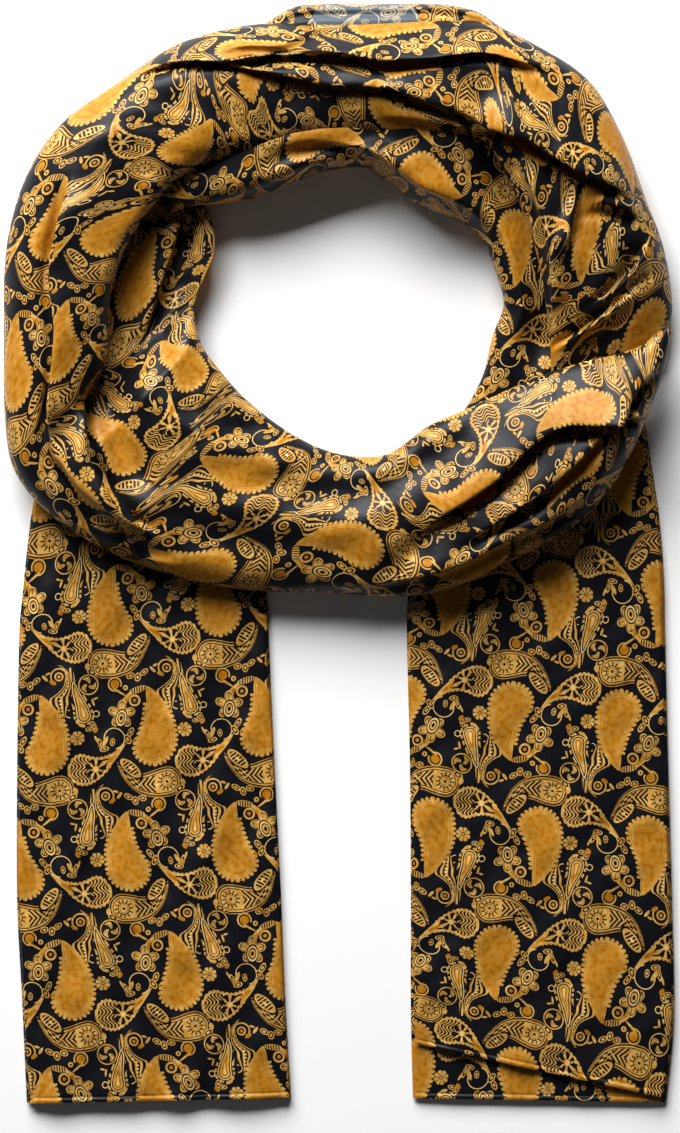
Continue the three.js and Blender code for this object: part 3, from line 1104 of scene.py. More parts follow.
    def slim_boteh(self) -> None:
        """The slim drop with a dotted halo."""
        spot = self.spot
        margin, _, _ = SLIM_BOTEH.margin(spot)
        dots = spot.angle((34.6, 13.6)).scaled(11.0, 0.0).math("SINE") > -0.25
        self.mark(margin.between(-2.0, -1.0) * dots, Tone.GOLD)
        self.inwards(
            margin, (-0.45, Tone.PALE), (0.05, Tone.GROUND), (0.6, Tone.GOLD), (1.5, Tone.ORANGE), (2.3, Tone.PALE)
        )
        self.rings((27.4, 12.9), (1.2, 1.65, Tone.PALE), keep=spot.x < 28.9)
        self.rings((40.6, 14.0), (1.6, 2.0, Tone.PALE), keep=spot.x > 40.2)
        self.leaves((28.6, 18.6, 2.1, 0.55, 74.0, Leaf.GOLD), (27.2, 20.4, 1.4, 0.5, -16.0, Leaf.GOLD))

    def scroll(self) -> None:
        """The round scroll with three leaves inside it."""
        centre = (30.2, 27.4)
        out = self.spot.reach(centre)
        self.mark(out < 5.5, Tone.GROUND)
        self.mark(out.between(4.45, 5.0), Tone.GOLD)
        leaves = out.scaled(0.85, self.spot.angle(centre).scaled(3.0, 0.9)).math("SINE")
        self.mark((leaves > 0.2) * out.between(0.8, 3.8), Tone.GOLD)
        self.mark(leaves.between(0.68, 0.9) * out.between(1.2, 3.3), Tone.GROUND)

    def small_boteh(self) -> None:
        """The small boteh that lies across the repeat: a spoked wheel, slashes and a thin line about it."""
        spot, wheel = self.spot, (-2.3, -25.6)
        margin, off, _ = SMALL_BOTEH.margin(spot)
        live = spot.x < 21.4
        self.mark(margin.between(-1.5, -1.1) * live, Tone.SAND)
        self.mark((margin > -0.35) * live, Tone.GOLD)
        self.mark(margin.between(0.35, 0.8), Tone.GROUND)
        out = spot.reach(wheel)
        self.mark((spot.rays(wheel, 6.0) < 0.46) * out.between(1.5, 4.6), Tone.GROUND)
        self.mark(out.between(2.7, 3.1), Tone.GROUND)
        self.mark(out < 0.7, Tone.GROUND)
        slashes = (off.size() * 0.9 + spot.x).wave(2.3) > -0.12
        self.mark((slashes * spot.x.between(3.6, 11.2)) * (margin > 0.9), Tone.GROUND)
        nets = (off.wave(2.6) * spot.x.wave(3.4)) > 0.0
        self.mark((nets * (spot.x > 11.2)) * (margin > 0.8), Tone.GROUND)
        self.leaves(
            (10.6, -32.6, 2.3, 1.6, 20.0, Leaf.VEINED),
            (14.2, -33.6, 2.4, 1.7, 80.0, Leaf.VEINED),
            (17.4, -31.4, 2.6, 1.5, 34.0, Leaf.VEINED),
            (-8.2, -29.4, 2.9, 1.7, -30.0, Leaf.VEINED),
            (-10.0, -26.4, 1.8, 1.3, 74.0, Leaf.GOLD),
        )

    def companion(self) -> None:
        """The hatched leaf that nestles against the small boteh."""
        out = self.spot.reach((15.0, -17.6), (6.4, 2.7), 46.0)
        hatching = (self.spot.x.scaled(0.6, self.spot.y)).wave(1.9) > -0.25
        self.mark((out < 1.22) * (self.spot.x < 20.6), Tone.GROUND)
        self.mark(out < 1.0, Tone.GOLD)
        self.mark((out < 0.78) * hatching, Tone.GROUND)
        self.mark(out < 0.2, Tone.PALE)


Stops = tuple[tuple[float, float, float, float], ...]


@dataclass(frozen=True)
class Silk:
    """Light silk twill with a soft sheen: a near-black ground printed in golds, paler and greyer on its wrong side.

    Attributes:
        side: the side that shows.
        golds: (tone, red, green, blue) stops of the print's right side.
        wrong: the same for its wrong side.
        twill: distance between the twill's ribs, mm.
        strip: width of the right side that is rolled over at the edge of a piece that shows the wrong side, mm.
        clouds: size across and along in mm, and number of finer layers, of each soft noise that the silk uses.
        gloss: each input of the shader that sets how it shines, with its value.
    """

    side: Side
    golds: Stops = (
        (0.0, 0.0045, 0.0048, 0.0068),
        (0.34, 0.27, 0.082, 0.002),
        (0.5, 0.40, 0.150, 0.003),
        (0.75, 0.54, 0.290, 0.055),
        (1.0, 0.70, 0.46, 0.165),
    )
    wrong: Stops = (
        (0.0, 0.060, 0.078, 0.098),
        (0.34, 0.20, 0.16, 0.10),
        (0.75, 0.34, 0.28, 0.17),
        (1.0, 0.42, 0.36, 0.24),
    )
    twill: float = 0.52
    strip: float = 6.5
    clouds: tuple[tuple[str, float, float, float], ...] = (
        ("figure", 2.6, 2.6, 0.0),
        ("dye", 21.0, 34.0, 2.0),
        ("thread", 0.5, 5.0, 1.0),
        ("crease", 9.0, 15.0, 2.0),
        ("crumple", 26.0, 19.0, 1.0),
    )
    gloss: tuple[tuple[str, float], ...] = (
        ("IOR", 1.5),
        ("Specular IOR Level", 0.17),
        ("Sheen Weight", 0.01),
        ("Sheen Roughness", 0.4),
    )

    def stops(self, tree: Nodes, tone: Term, colours: Stops) -> Socket:
        """Turn the print's tone into colours.

        Args:
            tree: the material's nodes.
            tone: the tone.
            colours: the colour at each of some tones.

        Returns:
            The colour.
        """
        ramp = tree.nodes.new("ShaderNodeValToRGB")
        for end, (place, *colour) in zip(ramp.color_ramp.elements, (colours[0], colours[-1])):
            end.position, end.color = place, (*colour, 1.0)
        for place, *colour in colours[1:-1]:
            ramp.color_ramp.elements.new(place).color = (*colour, 1.0)
        tree.links.new(tone.socket, ramp.inputs[0])
        return ramp.outputs[0]

    def noise(self, tree: Nodes, place: Socket) -> dict[str, Term]:
        """Soft noises on the cloth, each a number about 0.5.

        Args:
            tree: the material's nodes.
            place: place on the cloth.

        Returns:
            The noises by name.
        """
        found = {}
        for name, wide, long, detail in self.clouds:
            stretch = tree.nodes.new("ShaderNodeMapping")
            stretch.inputs["Scale"].default_value = (1.0 / wide, 1.0 / long, 1.0)
            cloud = tree.nodes.new("ShaderNodeTexNoise")
            cloud.inputs["Scale"].default_value = 1.0
            cloud.inputs["Detail"].default_value = detail
            tree.links.new(place, stretch.inputs["Vector"])
            tree.links.new(stretch.outputs[0], cloud.inputs["Vector"])
            found[name] = Term(tree, cloud.outputs[0])
        return found

    def mixed(self, share: Term | float, first: Socket, second: Socket,
              blend: str = "MIX") -> Socket:
        """Mix two colours.

        Args:
            share: share of the second.
            first: the first colour.
            second: the second colour.
            blend: how they are mixed.

        Returns:
            The mixed colour.
        """
        tree = first.id_data
        mix = tree.nodes.new("ShaderNodeMix")
        mix.data_type = "RGBA"
        mix.blend_type = blend
        if isinstance(share, Term):
            tree.links.new(share.socket, mix.inputs[0])
        else:
            mix.inputs[0].default_value = share
        tree.links.new(first, mix.inputs[6])
        tree.links.new(second, mix.inputs[7])
        return mix.outputs[2]

    def build(self) -> bpy.types.Material:
        """Make the material.

        Its relief is the twill's ribs crossed by slubs in the thread, and the faint creases of cloth that has been
        folded. Each depth is in mm.

        Returns:
            The material.
        """
        material = bpy.data.materials.new(self.side.value)
        material.use_nodes = True
        tree = material.node_tree
        shader = tree.nodes["Principled BSDF"]
        for name, value in self.gloss:
            shader.inputs[name].default_value = value
        cloth = tree.nodes.new("ShaderNodeUVMap")
        cloth.uv_map = "cloth"
        parts = tree.nodes.new("ShaderNodeSeparateXYZ")
        tree.links.new(cloth.outputs[0], parts.inputs[0])
        u, v = Term(tree, parts.outputs[0]), Term(tree, parts.outputs[1])
        noise = self.noise(tree, cloth.outputs[0])
        ink = Paisley(tree)
        margin = ink.draw(u, v)
        inside_border, dappled = margin > 2.4, noise["figure"].between(0.44, 0.52)
        ink.mark(inside_border * dappled, Tone.FLECK)
        tinted = Term(tree, ink.tone) * noise["figure"].scaled(0.62, 0.69)
        shade = tree.nodes.new("ShaderNodeCombineColor")
        level = noise["dye"].scaled(0.34, noise["thread"].scaled(0.22, 0.72))
        for slot in shade.inputs[:3]:
            tree.links.new(level.socket, slot)
        colour = self.stops(tree, tinted, self.golds)
        if self.side is Side.WRONG:
            inside = (u.scaled(0.6, v) > -20.0) * (u.scaled(-0.4, v) < 14.0) * (u > self.strip)
            colour = self.mixed(inside, colour, self.stops(tree, tinted, self.wrong))
        colour = self.mixed(1.0, colour, shade.outputs[0], "MULTIPLY")
        tree.links.new(colour, shader.inputs["Base Color"])
        rough = noise["thread"].scaled(0.16, noise["dye"].scaled(0.12, 0.28))
        tree.links.new(rough.socket, shader.inputs["Roughness"])
        rib_depth, slub_depth, crease_depth, crumple_depth = 0.006, 0.05, 0.34, 0.9
        creased = noise["crease"].scaled(crease_depth, noise["crumple"] * crumple_depth)
        ribs = (u.scaled(0.8, v)).wave(self.twill)
        height = ribs.scaled(rib_depth, noise["thread"].scaled(slub_depth, creased))
        bump = tree.nodes.new("ShaderNodeBump")
        bump.inputs["Strength"].default_value = 1.0
        bump.inputs["Distance"].default_value = MM
        tree.links.new(height.socket, bump.inputs["Height"])
        tree.links.new(bump.outputs[0], shader.inputs["Normal"])
        return material


# ---- the scarf ----------------------------------------------------------------------------------------------------

FLAT = Roundness(bulge=0.5, square=9.0, flat=0.95, tuck=(0.93, 0.02), foot=0.5)


@dataclass(frozen=True)
class Stretch:
    """One named stretch of a band, which stands for the CAD node of the same name.

    Attributes:
        name: the stretch's and the node's name.
        start: first row.
        end: last row.
        rests_on: what it lies on.
    """

    name: str
    start: float
    # rests_on: what it lies on. It is not used.
    end: float
    rests_on: tuple[str, ...] = ()


@dataclass(frozen=True)
class Folded:
    """A band of silk with the stretches that it is seen as.

    Attributes:
        band: the band's form.
        stretches: its stretches, one after another.
        side: the side of the silk that shows.
        wall: thickness of the cloth, mm.
    """

    band: Band
    stretches: tuple[Stretch, ...]
    side: Side = Side.PRINTED
    wall: float = 0.5

    def build(self, finishes: dict[Side, bpy.types.Material]) -> None:
        """Make each stretch and dress it.

        Args:
            finishes: the finish of each side of the silk.
        """
        rows, whole = self.band.grid()
        for stretch in self.stretches:
            first = int(np.argmin(np.abs(rows - stretch.start)))
            last = int(np.argmin(np.abs(rows - stretch.end)))
            part = whole.part(first, last)
            piece = shell(f"{stretch.name}_silk", part, self.wall)
            piece.data.materials.append(finishes[self.side])
            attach(piece, "root")
            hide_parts(stretch.name)
            width, length = part.cut()
            LOG.info("%s: %.0f x %.0f mm of cloth", piece.name, width / MM, length / MM)

# Each section is (outer x, outer y, underside there, inner x, inner y, underside there, crest), in mm. Each fold is
# (track, rise, back, front, lean, hollow, hidden, facing, ease, agree); values that are left out keep their defaults.

# The band that crosses the front, climbs the left side, passes behind the neck and comes down the right.
WRAP_SECTIONS = (
    (160.4, 107.0, 17.0, 157.0, 110.5, 17.0, 26.0),
    (157.5, 91.0, 15.0, 145.8, 101.3, 17.0, 29.0),
    (151.5, 73.0, 8.0, 132.2, 96.5, 17.0, 31.0),
    (141.5, 50.0, 7.0, 119.1, 93.6, 17.0, 32.0),
    (126.5, 25.5, 4.0, 102.1, 88.2, 16.0, 32.0),
    (105.0, 8.0, 2.0, 83.6, 80.9, 16.0, 31.0),
    (81.6, -4.0, 0.0, 63.2, 71.2, 14.0, 30.0),
    (57.3, -16.0, 0.0, 43.7, 62.9, 6.0, 29.0),
    (26.7, -20.4, 0.0, 23.8, 49.3, 0.0, 28.0),
    (-4.9, -18.6, 0.0, 7.3, 47.9, 0.0, 27.0),
    (-37.9, -17.7, 0.0, -10.7, 52.2, 0.0, 27.0),
    (-65.6, -14.3, 0.0, -29.2, 62.5, 0.0, 27.0),
    (-92.3, -7.0, 0.0, -46.2, 76.1, 0.0, 28.0),
    (-116.6, 3.6, 0.0, -57.5, 88.5, 0.0, 29.0),
    (-140.0, 18.2, 0.0, -67.1, 101.8, 0.0, 30.0),
    (-157.9, 40.1, 0.0, -71.0, 117.9, 0.0, 32.0),
    (-162.8, 65.4, 0.0, -70.0, 124.7, 0.0, 34.0),
    (-163.3, 104.2, 0.0, -66.6, 133.4, 0.0, 36.0),
    (-162.8, 142.2, 0.0, -61.2, 147.0, 0.0, 37.0),
    (-157.5, 169.9, 0.0, -62.2, 161.6, 0.0, 38.0),
    (-147.7, 192.7, 0.0, -68.0, 174.2, 0.0, 38.0),
    (-133.2, 211.2, 0.0, -66.1, 183.0, 4.0, 38.0),
    (-110.8, 227.2, 0.0, -57.3, 189.3, 12.0, 38.0),
    (-80.7, 247.1, 0.0, -39.9, 195.6, 18.0, 38.0),
    (-49.1, 256.4, 0.0, -19.4, 200.0, 20.0, 38.0),
    (-19.4, 258.5, 0.0, 0.0, 202.4, 20.0, 38.0),
    (9.7, 258.5, 0.0, 21.9, 203.4, 20.0, 38.0),
    (41.3, 259.8, 0.0, 44.7, 202.4, 20.0, 38.0),
    (69.0, 258.8, 0.0, 68.0, 200.5, 20.0, 37.0),
    (97.2, 246.4, 0.0, 77.8, 187.8, 19.0, 36.0),
    (121.5, 229.6, 0.0, 85.5, 172.3, 17.0, 35.0),
    (137.1, 203.4, 0.0, 92.3, 155.3, 14.0, 34.0),
    (148.2, 174.2, 0.0, 97.2, 137.3, 12.0, 32.0),
    (157.5, 149.0, 0.0, 100.1, 118.8, 10.0, 28.0),
    (161.8, 122.0, 0.0, 102.1, 101.8, 8.0, 22.0),
    (159.5, 100.0, 0.0, 103.0, 84.4, 5.0, 15.0),
)
WRAP_FOLDS = (
    # The deep fold up the left side, from the pinch at its lower end to the back of the neck.
    Ledge(
        track=((13.8, 0.29), (14.4, 0.32), (15.1, 0.4), (15.6, 0.51), (16.3, 0.55), (17.2, 0.54), (18.0, 0.57),
               (19.0, 0.67), (20.0, 0.82), (20.9, 0.91), (22.2, 0.98), (23.5, 1.12)),
        drop=((14.2, 0.0), (15.0, 14.0), (16.2, 22.0), (18.0, 24.0), (20.5, 22.0), (22.0, 17.0), (23.5, 0.0)),
        front=2.4,
        agree=13.8,
    ),
    # The pleats that run out of the pinch, down and along the front.
    Fold(((12.0, 0.13), (12.6, 0.19), (13.2, 0.24), (13.8, 0.29), (14.5, 0.34), (15.3, 0.4)), 7.0, 11.0, 3.0, 6.5,
         0.7, 3.0, Facing.NECK, 0.26),
    Fold(((12.4, 0.36), (13.2, 0.4), (14.0, 0.45), (14.8, 0.54), (15.6, 0.68)), -8.0, 10.0, 12.0, hollow=0.0),
    Fold(((12.2, 0.05), (13.0, 0.1), (13.6, 0.13), (14.3, 0.16), (15.0, 0.2)), 5.5, 8.0, 2.4, 4.0, 0.7, 3.0,
         Facing.EDGE),
    Fold(((11.4, 0.06), (12.2, 0.05), (12.8, 0.06), (13.5, 0.04), (14.1, 0.04)), 3.5, 7.0, 2.4, 2.0, 0.6),
    # Two rolls side by side up the left side.
    Fold(((14.3, 0.16), (15.6, 0.22), (16.6, 0.25), (17.7, 0.22), (18.6, 0.24), (19.8, 0.28)), 6.5, 11.0, 2.8, 5.5,
         0.9, 12.0, Facing.EDGE, 0.24),
    Fold(((17.6, 0.36), (18.6, 0.44), (19.8, 0.58), (21.2, 0.7)), -2.4, 9.0, 7.0, hollow=0.0),
    Fold(((15.2, 0.7), (16.6, 0.76), (18.2, 0.8), (20.0, 0.9)), 4.4, 8.0, 3.0, 3.0, 0.7),
    Fold(((16.4, 0.92), (17.4, 0.88), (18.6, 0.86), (19.6, 0.8)), -2.6, 6.0, 5.0, hollow=0.0),
    # Pleats behind the neck.
    Fold(((21.6, -0.04), (22.2, 0.04), (22.8, 0.15), (23.4, 0.24), (24.0, 0.29), (25.1, 0.34), (25.8, 0.36),
         (26.5, 0.4), (27.3, 0.37), (28.2, 0.29), (28.9, 0.2), (29.6, 0.05)), 7.5, 9.0, 2.4, 5.5, 0.9, 9.0,
         Facing.NECK, 0.2),
    Fold(((22.4, 0.1), (23.2, 0.23), (23.9, 0.43), (24.5, 0.53), (25.0, 0.6), (25.8, 0.62), (26.4, 0.67),
         (27.0, 0.76), (27.6, 0.83), (28.4, 0.9)), 6.5, 9.0, 2.4, 5.0, 0.8, 5.0, Facing.NECK, 0.24),
    Fold(((22.9, 0.05), (23.6, 0.13), (24.4, 0.17), (25.4, 0.08), (26.4, 0.02)), 4.5, 6.0, 1.9, 3.0, 0.8, 5.0),
    Fold(((23.8, 0.18), (24.4, 0.2), (25.0, 0.22), (25.6, 0.25), (26.5, 0.34)), 3.6, 5.0, 1.9, 2.4, 0.8, 4.0),
    Fold(((26.0, 0.1), (27.0, 0.14), (28.0, 0.12), (29.0, 0.05)), -3.2, 5.0, 5.0, hollow=0.0),
    Fold(((25.8, 0.86), (26.6, 0.88), (27.4, 0.93), (28.3, 0.98)), 2.6, 6.0, 2.4, 1.6, 0.6),
    # Down the right side.
    Fold(((27.7, 1.0), (28.3, 0.9), (28.8, 0.82), (29.4, 0.71), (30.0, 0.64), (30.6, 0.54), (31.1, 0.42),
         (31.5, 0.26), (31.9, 0.06), (32.1, -0.1)), 9.0, 13.0, 2.5, 6.0, 0.8, 6.0, Facing.NECK, 0.2, 27.7),
    Fold(((28.8, 0.84), (29.6, 0.86), (30.7, 0.88), (32.2, 0.93), (33.8, 0.98)), 4.5, 8.0, 3.0, 2.0, 0.0),
    Fold(((30.9, 0.5), (31.3, 0.6), (31.7, 0.7), (32.2, 0.84)), 3.0, 8.0, 3.2, 2.4, 0.6, 0.0, Facing.EDGE, 0.4),
    Fold(((31.4, 0.5), (31.7, 0.34), (32.0, 0.2), (32.5, 0.04)), 4.2, 9.0, 4.0, 3.0, 0.8),
    Fold(((32.6, 0.0), (32.9, 0.16), (33.2, 0.34), (33.5, 0.6)), 5.0, 13.0, 5.0, 4.5, 0.7, 0.0, Facing.NECK, 0.4),
    Fold(((33.3, 0.1), (33.6, 0.4), (33.9, 0.7), (34.3, 1.0)), 5.0, 14.0, 6.0, 4.0, 0.7, 0.0, Facing.NECK, 0.4),
    # Across the front.
    Fold(((2.0, -0.1), (2.5, 0.14), (3.0, 0.34), (3.6, 0.5), (4.3, 0.61), (5.0, 0.6), (5.8, 0.51), (6.5, 0.47),
         (7.2, 0.44), (7.7, 0.38)), 8.5, 13.0, 2.8, 6.0, 0.8, 6.0, Facing.EDGE, 0.22, 7.7),
    Fold(((0.8, 0.3), (2.2, 0.36), (3.3, 0.37), (4.4, 0.34), (5.4, 0.29), (6.4, 0.27), (7.2, 0.3)), 5.5, 10.0, 2.6,
         4.0, 0.8, 4.0, Facing.EDGE, 0.26),
    Fold(((3.8, 0.12), (5.2, 0.13), (6.4, 0.13), (7.8, 0.11), (9.0, 0.05)), 4.0, 8.0, 2.4, 2.4, 0.8, 4.0,
         Facing.EDGE),
    Fold(((7.1, 0.54), (7.3, 0.42), (7.6, 0.3), (8.1, 0.16), (8.6, 0.06)), -4.5, 12.0, 9.0, hollow=0.0, ease=0.4),
    Fold(((5.4, 0.84), (7.2, 0.8), (9.2, 0.72), (11.4, 0.64)), -2.8, 9.0, 8.0, hollow=0.0),
    Fold(((8.4, 0.34), (9.8, 0.3), (11.4, 0.28), (13.0, 0.34)), -3.0, 10.0, 8.0, hollow=0.0),
    Fold(((9.6, 0.86), (11.2, 0.78), (12.8, 0.7), (14.4, 0.66)), 2.4, 9.0, 5.0, hollow=0.5),
    Fold(((8.2, 0.54), (9.4, 0.5), (10.8, 0.5), (12.2, 0.52)), 1.8, 11.0, 8.0, hollow=0.4),
)
WRAP = Folded(
    Band(WRAP_SECTIONS, PrintPlace(row=18.7, place=0.5, across=24.0, along=-58.3), WRAP_FOLDS),
    (
        Stretch("front_wrap", 0.0, 14.5, ("left_tail_top_silk", "right_tail_top_silk")),
        Stretch("left_wrap", 14.5, 21.5),
        Stretch("back_wrap", 21.5, 28.5),
        Stretch("right_wrap", 28.5, 35.0),
    ),
)

# The pass of the band that lies nearest to the neck, behind it and down its right side.
INNER_SECTIONS = (
    (-92.0, 182.0, 0.0, -84.0, 164.5, 14.0, 22.0),
    (-78.0, 192.0, 0.0, -72.0, 169.0, 12.0, 25.0),
    (-60.8, 201.4, 0.0, -57.3, 170.5, 8.0, 27.0),
    (-41.3, 208.7, 0.0, -41.3, 173.4, 0.0, 31.0),
    (-26.7, 212.1, 0.0, -27.2, 179.1, 0.0, 32.0),
    (-9.7, 214.1, 0.0, -9.2, 185.9, 0.0, 32.0),
    (12.2, 216.0, 0.0, 10.7, 188.3, 0.0, 32.0),
    (34.0, 218.0, 0.0, 23.3, 181.0, 0.0, 32.0),
    (63.2, 215.1, 0.0, 38.9, 169.4, 0.0, 30.0),
    (88.5, 196.6, 0.0, 55.9, 163.5, 0.0, 25.0),
    (103.0, 172.3, 0.0, 69.0, 153.8, 0.0, 23.0),
    (107.9, 148.0, 0.0, 75.8, 137.3, 0.0, 22.0),
    (109.8, 123.7, 0.0, 79.7, 122.2, 0.0, 20.0),
    (109.0, 104.2, 0.0, 74.4, 106.7, 0.0, 17.0),
    (106.0, 86.8, 0.0, 70.0, 88.7, 0.0, 14.0),
    (102.0, 74.0, 0.0, 63.8, 75.5, 0.0, 12.0),
    (99.0, 66.5, 0.0, 58.8, 68.0, 0.0, 11.5),
)
INNER_FOLDS = (
    Fold(((3.4, 0.36), (5.0, 0.52), (6.0, 0.72), (7.2, 0.84), (9.1, 0.86), (10.6, 0.9)), 3.6, 8.0, 3.0, 2.4, 0.8),
    Fold(((2.2, 0.6), (4.0, 0.62), (6.0, 0.5), (8.2, 0.56)), -3.4, 6.0, 5.0, hollow=0.0),
    Fold(((8.0, 0.2), (8.8, 0.36), (9.6, 0.42), (10.8, 0.4), (12.4, 0.34), (14.2, 0.3)), -9.0, 11.0, 10.0, hollow=0.0,
         ease=0.2),
    Fold(((9.0, 0.7), (10.2, 0.74), (11.6, 0.7), (13.4, 0.62)), 2.4, 6.0, 3.0, 1.4, 0.6),
)
INNER = Folded(
    Band(
        INNER_SECTIONS,
        PrintPlace(row=5.5, place=0.7, across=6.0, along=10.0),
        INNER_FOLDS,
        form=Roundness(square=3.4),
        ripple=Ripple(height=0.35),
        step=1.4,
    ),
    (Stretch("inner_back", 0.0, 8.5), Stretch("inner_right", 8.5, 16.0)),
)

# The outermost layer behind the neck, turned over so that its wrong side shows.
BACK_FOLD_SECTIONS = (
    (-40.0, 257.0, 0.0, -38.0, 249.0, 0.0, 12.0),
    (-33.5, 260.7, 0.0, -31.6, 247.1, 0.0, 18.0),
    (-22.4, 266.6, 0.0, -19.4, 246.1, 0.0, 22.0),
    (-9.7, 268.0, 0.0, -7.3, 245.2, 0.0, 24.0),
    (8.7, 268.0, 0.0, 9.7, 245.2, 0.0, 25.0),
    (32.6, 268.0, 0.0, 32.6, 245.2, 0.0, 25.0),
    (51.5, 267.6, 0.0, 48.6, 246.2, 0.0, 24.0),
    (66.1, 264.6, 0.0, 63.2, 246.0, 0.0, 22.0),
    (77.8, 257.5, 0.0, 73.9, 244.2, 0.0, 18.0),
    (88.5, 250.4, 0.0, 84.0, 241.0, 0.0, 12.0),
)
BACK_FOLD = Folded(
    Band(
        BACK_FOLD_SECTIONS,
        PrintPlace(row=4.5, place=0.0, along=4.0),
        (Fold(((0.4, 0.16), (3.0, 0.18), (6.0, 0.16), (8.6, 0.2)), 1.6, 3.0, 1.6, 0.6, 1.0),),
        ripple=Ripple(height=0.2),
        step=1.2,
    ),
    (Stretch("back_fold", 0.0, 9.0),),
    Side.WRONG,
)


@dataclass(frozen=True)
class Tail:
    """One tail, as its two folded pairs of layers, one on the other.

    Attributes:
        name: which tail.
        sections: (outer x, outer y, inner x, inner y) of its lower pair, mm, ending at the hem.
        folds: soft waves along it.
        printing: how the print lies on its upper pair.
        inset: how far the upper pair is drawn in at both edges, mm.
        short: how far the upper pair stops short of the lower at its outer and its inner corner, mm.
        thick: thickness of each pair in the CAD, mm.
        gap: gap between the two pairs, mm.
        crown: how far the silk stands above the CAD's thickness, mm.
        slanted: how far short a corner has to stop for the end to be slanted, mm.
        lead: share of that which the section before the end is moved by, on a slanted end.
    """

    name: str
    sections: tuple[tuple[float, float, float, float], ...]
    folds: tuple[Fold, ...]
    printing: PrintPlace
    inset: float
    short: tuple[float, float]
    thick: float = 2.4
    gap: float = 0.3
    crown: float = 0.5
    slanted: float = 5.0
    lead: float = 0.4

    def layer(self, level: int) -> Folded:
        """One folded pair of layers.

        Args:
            level: 0 for the lower pair and 1 for the upper.

        Returns:
            The pair as a band with its one stretch.
        """
        floor = level * (self.thick + self.gap)
        crest = floor + self.thick + self.crown
        rows = []
        last = len(self.sections) - 1
        for i, (ox, oy, ix, iy) in enumerate(self.sections):
            side = math.copysign(self.inset * level, ix - ox)
            end = level if i == last else 0
            before = self.lead * self.short[1] * level if i == last - 1 and self.short[1] > self.slanted else 0.0
            outer_y, inner_y = oy + end * self.short[0], iy + end * self.short[1] + before
            rows.append((ox + side, outer_y, floor, ix - side, inner_y, floor, crest))
        name = f"{self.name}_{('under', 'top')[level]}"
        band = Band(
            sections=tuple(rows),
            printing=self.printing,
            folds=self.folds if level else (),
            form=FLAT,
            ripple=Ripple(height=0.42 * level + 0.08),
            hem=2.2,
            step=1.6,
        )
        below = () if level == 0 else (f"{self.name}_under_silk",)
        return Folded(band, (Stretch(name, 0.0, float(last), below),), wall=0.45)


LEFT_TAIL = Tail(
    name="left_tail",
    sections=(
        (-138.0, 46.0, -50.0, 46.0),
        (-149.2, 27.9, -39.9, 16.8),
        (-155.5, -22.1, -35.5, -18.7),
        (-157.0, -46.4, -34.5, -46.4),
        (-157.9, -109.6, -31.6, -109.6),
        (-157.9, -167.9, -28.7, -167.9),
        (-155.5, -216.5, -26.7, -216.5),
        (-153.1, -268.0, -23.8, -265.6),
    ),
    folds=(
        Fold(((2.0, 0.3), (3.5, 0.34), (4.6, 0.3), (5.6, 0.36)), -1.3, 9.0, 7.0, hollow=0.0),
        Fold(((2.0, 0.72), (3.6, 0.66), (5.4, 0.7), (6.8, 0.64)), 1.2, 14.0, 12.0, hollow=0.0),
        Fold(((4.4, 0.5), (5.2, 0.54), (6.6, 0.5)), -0.9, 8.0, 9.0, hollow=0.0),
        Fold(((1.6, 0.12), (3.0, 0.1), (4.6, 0.14)), 1.0, 8.0, 8.0, hollow=0.0),
    ),
    printing=PrintPlace(row=4.6, place=0.425, run=-1.0, turn=5.0),
    inset=0.8,
    short=(0.0, 0.6),
)

RIGHT_TAIL = Tail(
    name="right_tail",
    sections=(
        (148.0, 71.0, 62.0, 58.0),
        (151.6, 48.8, 43.7, 36.2),
        (156.0, 19.2, 35.0, 7.0),
        (158.4, -11.9, 33.0, -22.1),
        (158.9, -37.2, 32.6, -41.6),
        (160.4, -99.9, 34.0, -99.9),
        (162.3, -167.9, 34.5, -167.9),
        (163.3, -225.7, 34.5, -221.4),
        (159.4, -267.6, 35.5, -265.6),
    ),
    folds=(
        Fold(((3.0, 0.6), (4.6, 0.62), (6.0, 0.56), (7.6, 0.6)), -1.1, 10.0, 8.0, hollow=0.0),
        Fold(((3.0, 0.24), (4.8, 0.3), (6.6, 0.26)), 1.3, 14.0, 12.0, hollow=0.0),
        Fold(((5.4, 0.4), (6.2, 0.36), (7.4, 0.42)), -1.2, 7.0, 8.0, hollow=0.0),
        Fold(((2.6, 0.88), (4.2, 0.84), (5.8, 0.88)), 1.0, 9.0, 8.0, hollow=0.0),
    ),
    printing=PrintPlace(row=5.6, place=0.5, turn=-5.0),
    inset=1.2,
    short=(2.5, 27.0),
)


# ---- floor, lights and camera -------------------------------------------------------------------------------------


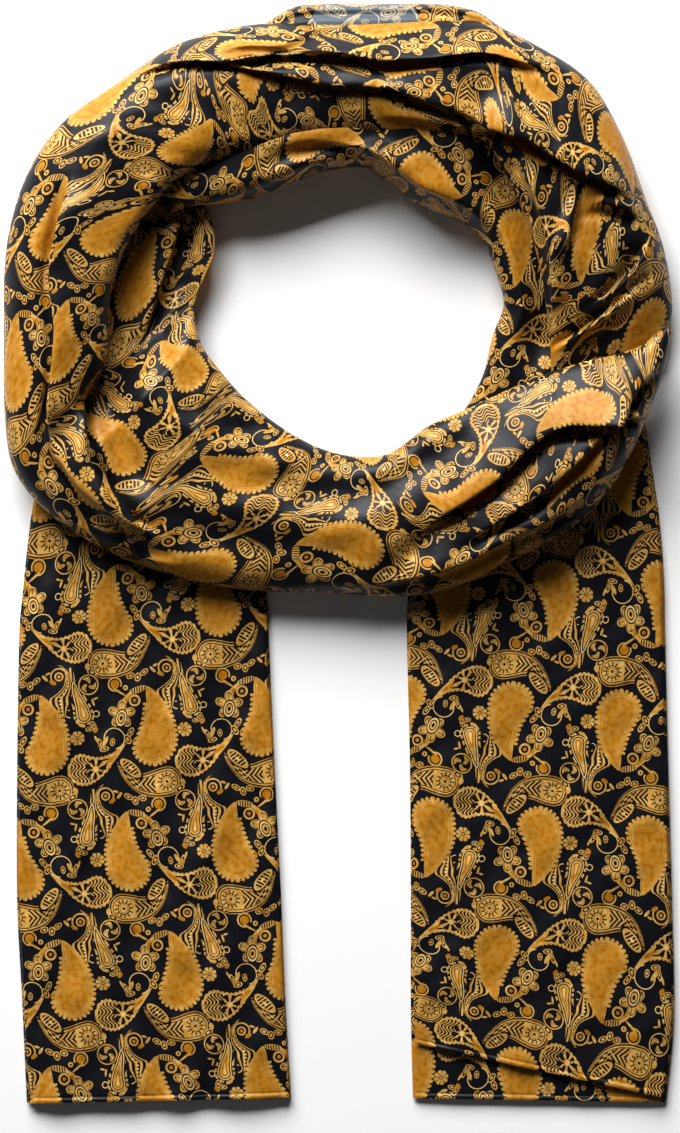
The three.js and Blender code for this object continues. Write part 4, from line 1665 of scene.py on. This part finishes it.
@dataclass(frozen=True)
class Studio:
    """A pale floor, soft light from beyond the back of the neck, and a camera straight above.

    Attributes:
        field: width and height that the camera takes in at the height of the cloth, mm.
        middle: place that it looks straight down on, mm.
        lens: focal length, mm.
        height: height of the cloth that the field is measured at, mm.
        film: width of the camera's film, mm.
        reach: half width of the floor, metres.
    """

    field: tuple[float, float] = (330.5, 550.6)
    middle: tuple[float, float] = (0.0, -5.8)
    lens: float = 135.0
    height: float = 14.0
    film: float = 36.0
    reach: float = 4.0

    def floor(self) -> None:
        """A wide matt sheet of card for the scarf to lie on."""
        mesh = bpy.data.meshes.new("floor")
        far = self.reach
        mesh.from_pydata([(-far, -far, 0.0), (far, -far, 0.0), (far, far, 0.0), (-far, far, 0.0)], [], [(0, 1, 2, 3)])
        floor = bpy.data.objects.new("floor", mesh)
        bpy.context.scene.collection.objects.link(floor)
        card = bpy.data.materials.new("white_card")
        card.use_nodes = True
        shader = card.node_tree.nodes["Principled BSDF"]
        shader.inputs["Base Color"].default_value = (0.95, 0.95, 0.95, 1.0)
        shader.inputs["Roughness"].default_value = 0.9
        shader.inputs["Specular IOR Level"].default_value = 0.1
        mesh.materials.append(card)

    def lamp(self, name: str, place: tuple[float, float, float], size: tuple[float, float], power: float) -> None:
        """A soft light that faces the middle of the scarf.

        Args:
            name: the light's name.
            place: where it hangs, metres.
            size: its width and height, metres.
            power: its power, watts.
        """
        light = bpy.data.lights.new(name, "AREA")
        light.shape = "RECTANGLE"
        light.size, light.size_y = size
        light.energy = power
        lamp = bpy.data.objects.new(name, light)
        lamp.location = place
        away = np.array(place) / np.linalg.norm(place)
        lamp.rotation_euler = (math.acos(away[2]), 0.0, math.atan2(away[1], away[0]) + math.pi / 2.0)
        bpy.context.scene.collection.objects.link(lamp)

    def camera(self) -> None:
        """The camera, far enough up for its field, with a long lens."""
        lens = bpy.data.cameras.new("camera")
        lens.lens = self.lens
        lens.sensor_width = self.film
        lens.clip_end = 50.0
        camera = bpy.data.objects.new("camera", lens)
        up = self.field[1] * self.lens / self.film + self.height
        camera.location = (self.middle[0] * MM, self.middle[1] * MM, up * MM)
        bpy.context.scene.collection.objects.link(camera)
        bpy.context.scene.camera = camera

    def build(self) -> None:
        """Make the floor, the lights and the camera, and set the tone of the whole."""
        self.floor()
        self.lamp("window", (-0.62, 1.88, 1.15), (1.8, 1.3), 142.0)
        self.lamp("bounce", (-0.5, -1.8, 1.3), (1.6, 1.6), 1.6)
        world = bpy.data.worlds.new("studio")
        world.use_nodes = True
        sky = world.node_tree.nodes["Background"]
        sky.inputs["Color"].default_value = (0.95, 0.97, 1.0, 1.0)
        sky.inputs["Strength"].default_value = 0.02
        scene = bpy.context.scene
        scene.world = world
        scene.view_settings.view_transform = "Standard"
        self.camera()


def main() -> None:
    """Build the studio and every piece of the scarf."""
    logging.basicConfig(level=logging.INFO, format="%(name)s: %(message)s")
    Studio().build()
    finishes = {side: Silk(side).build() for side in Side}
    for tail in (LEFT_TAIL, RIGHT_TAIL):
        for level in (0, 1):
            tail.layer(level).build(finishes)
    for folded in (WRAP, INNER, BACK_FOLD):
        folded.build(finishes)


if __name__ == "__main__":
    main()
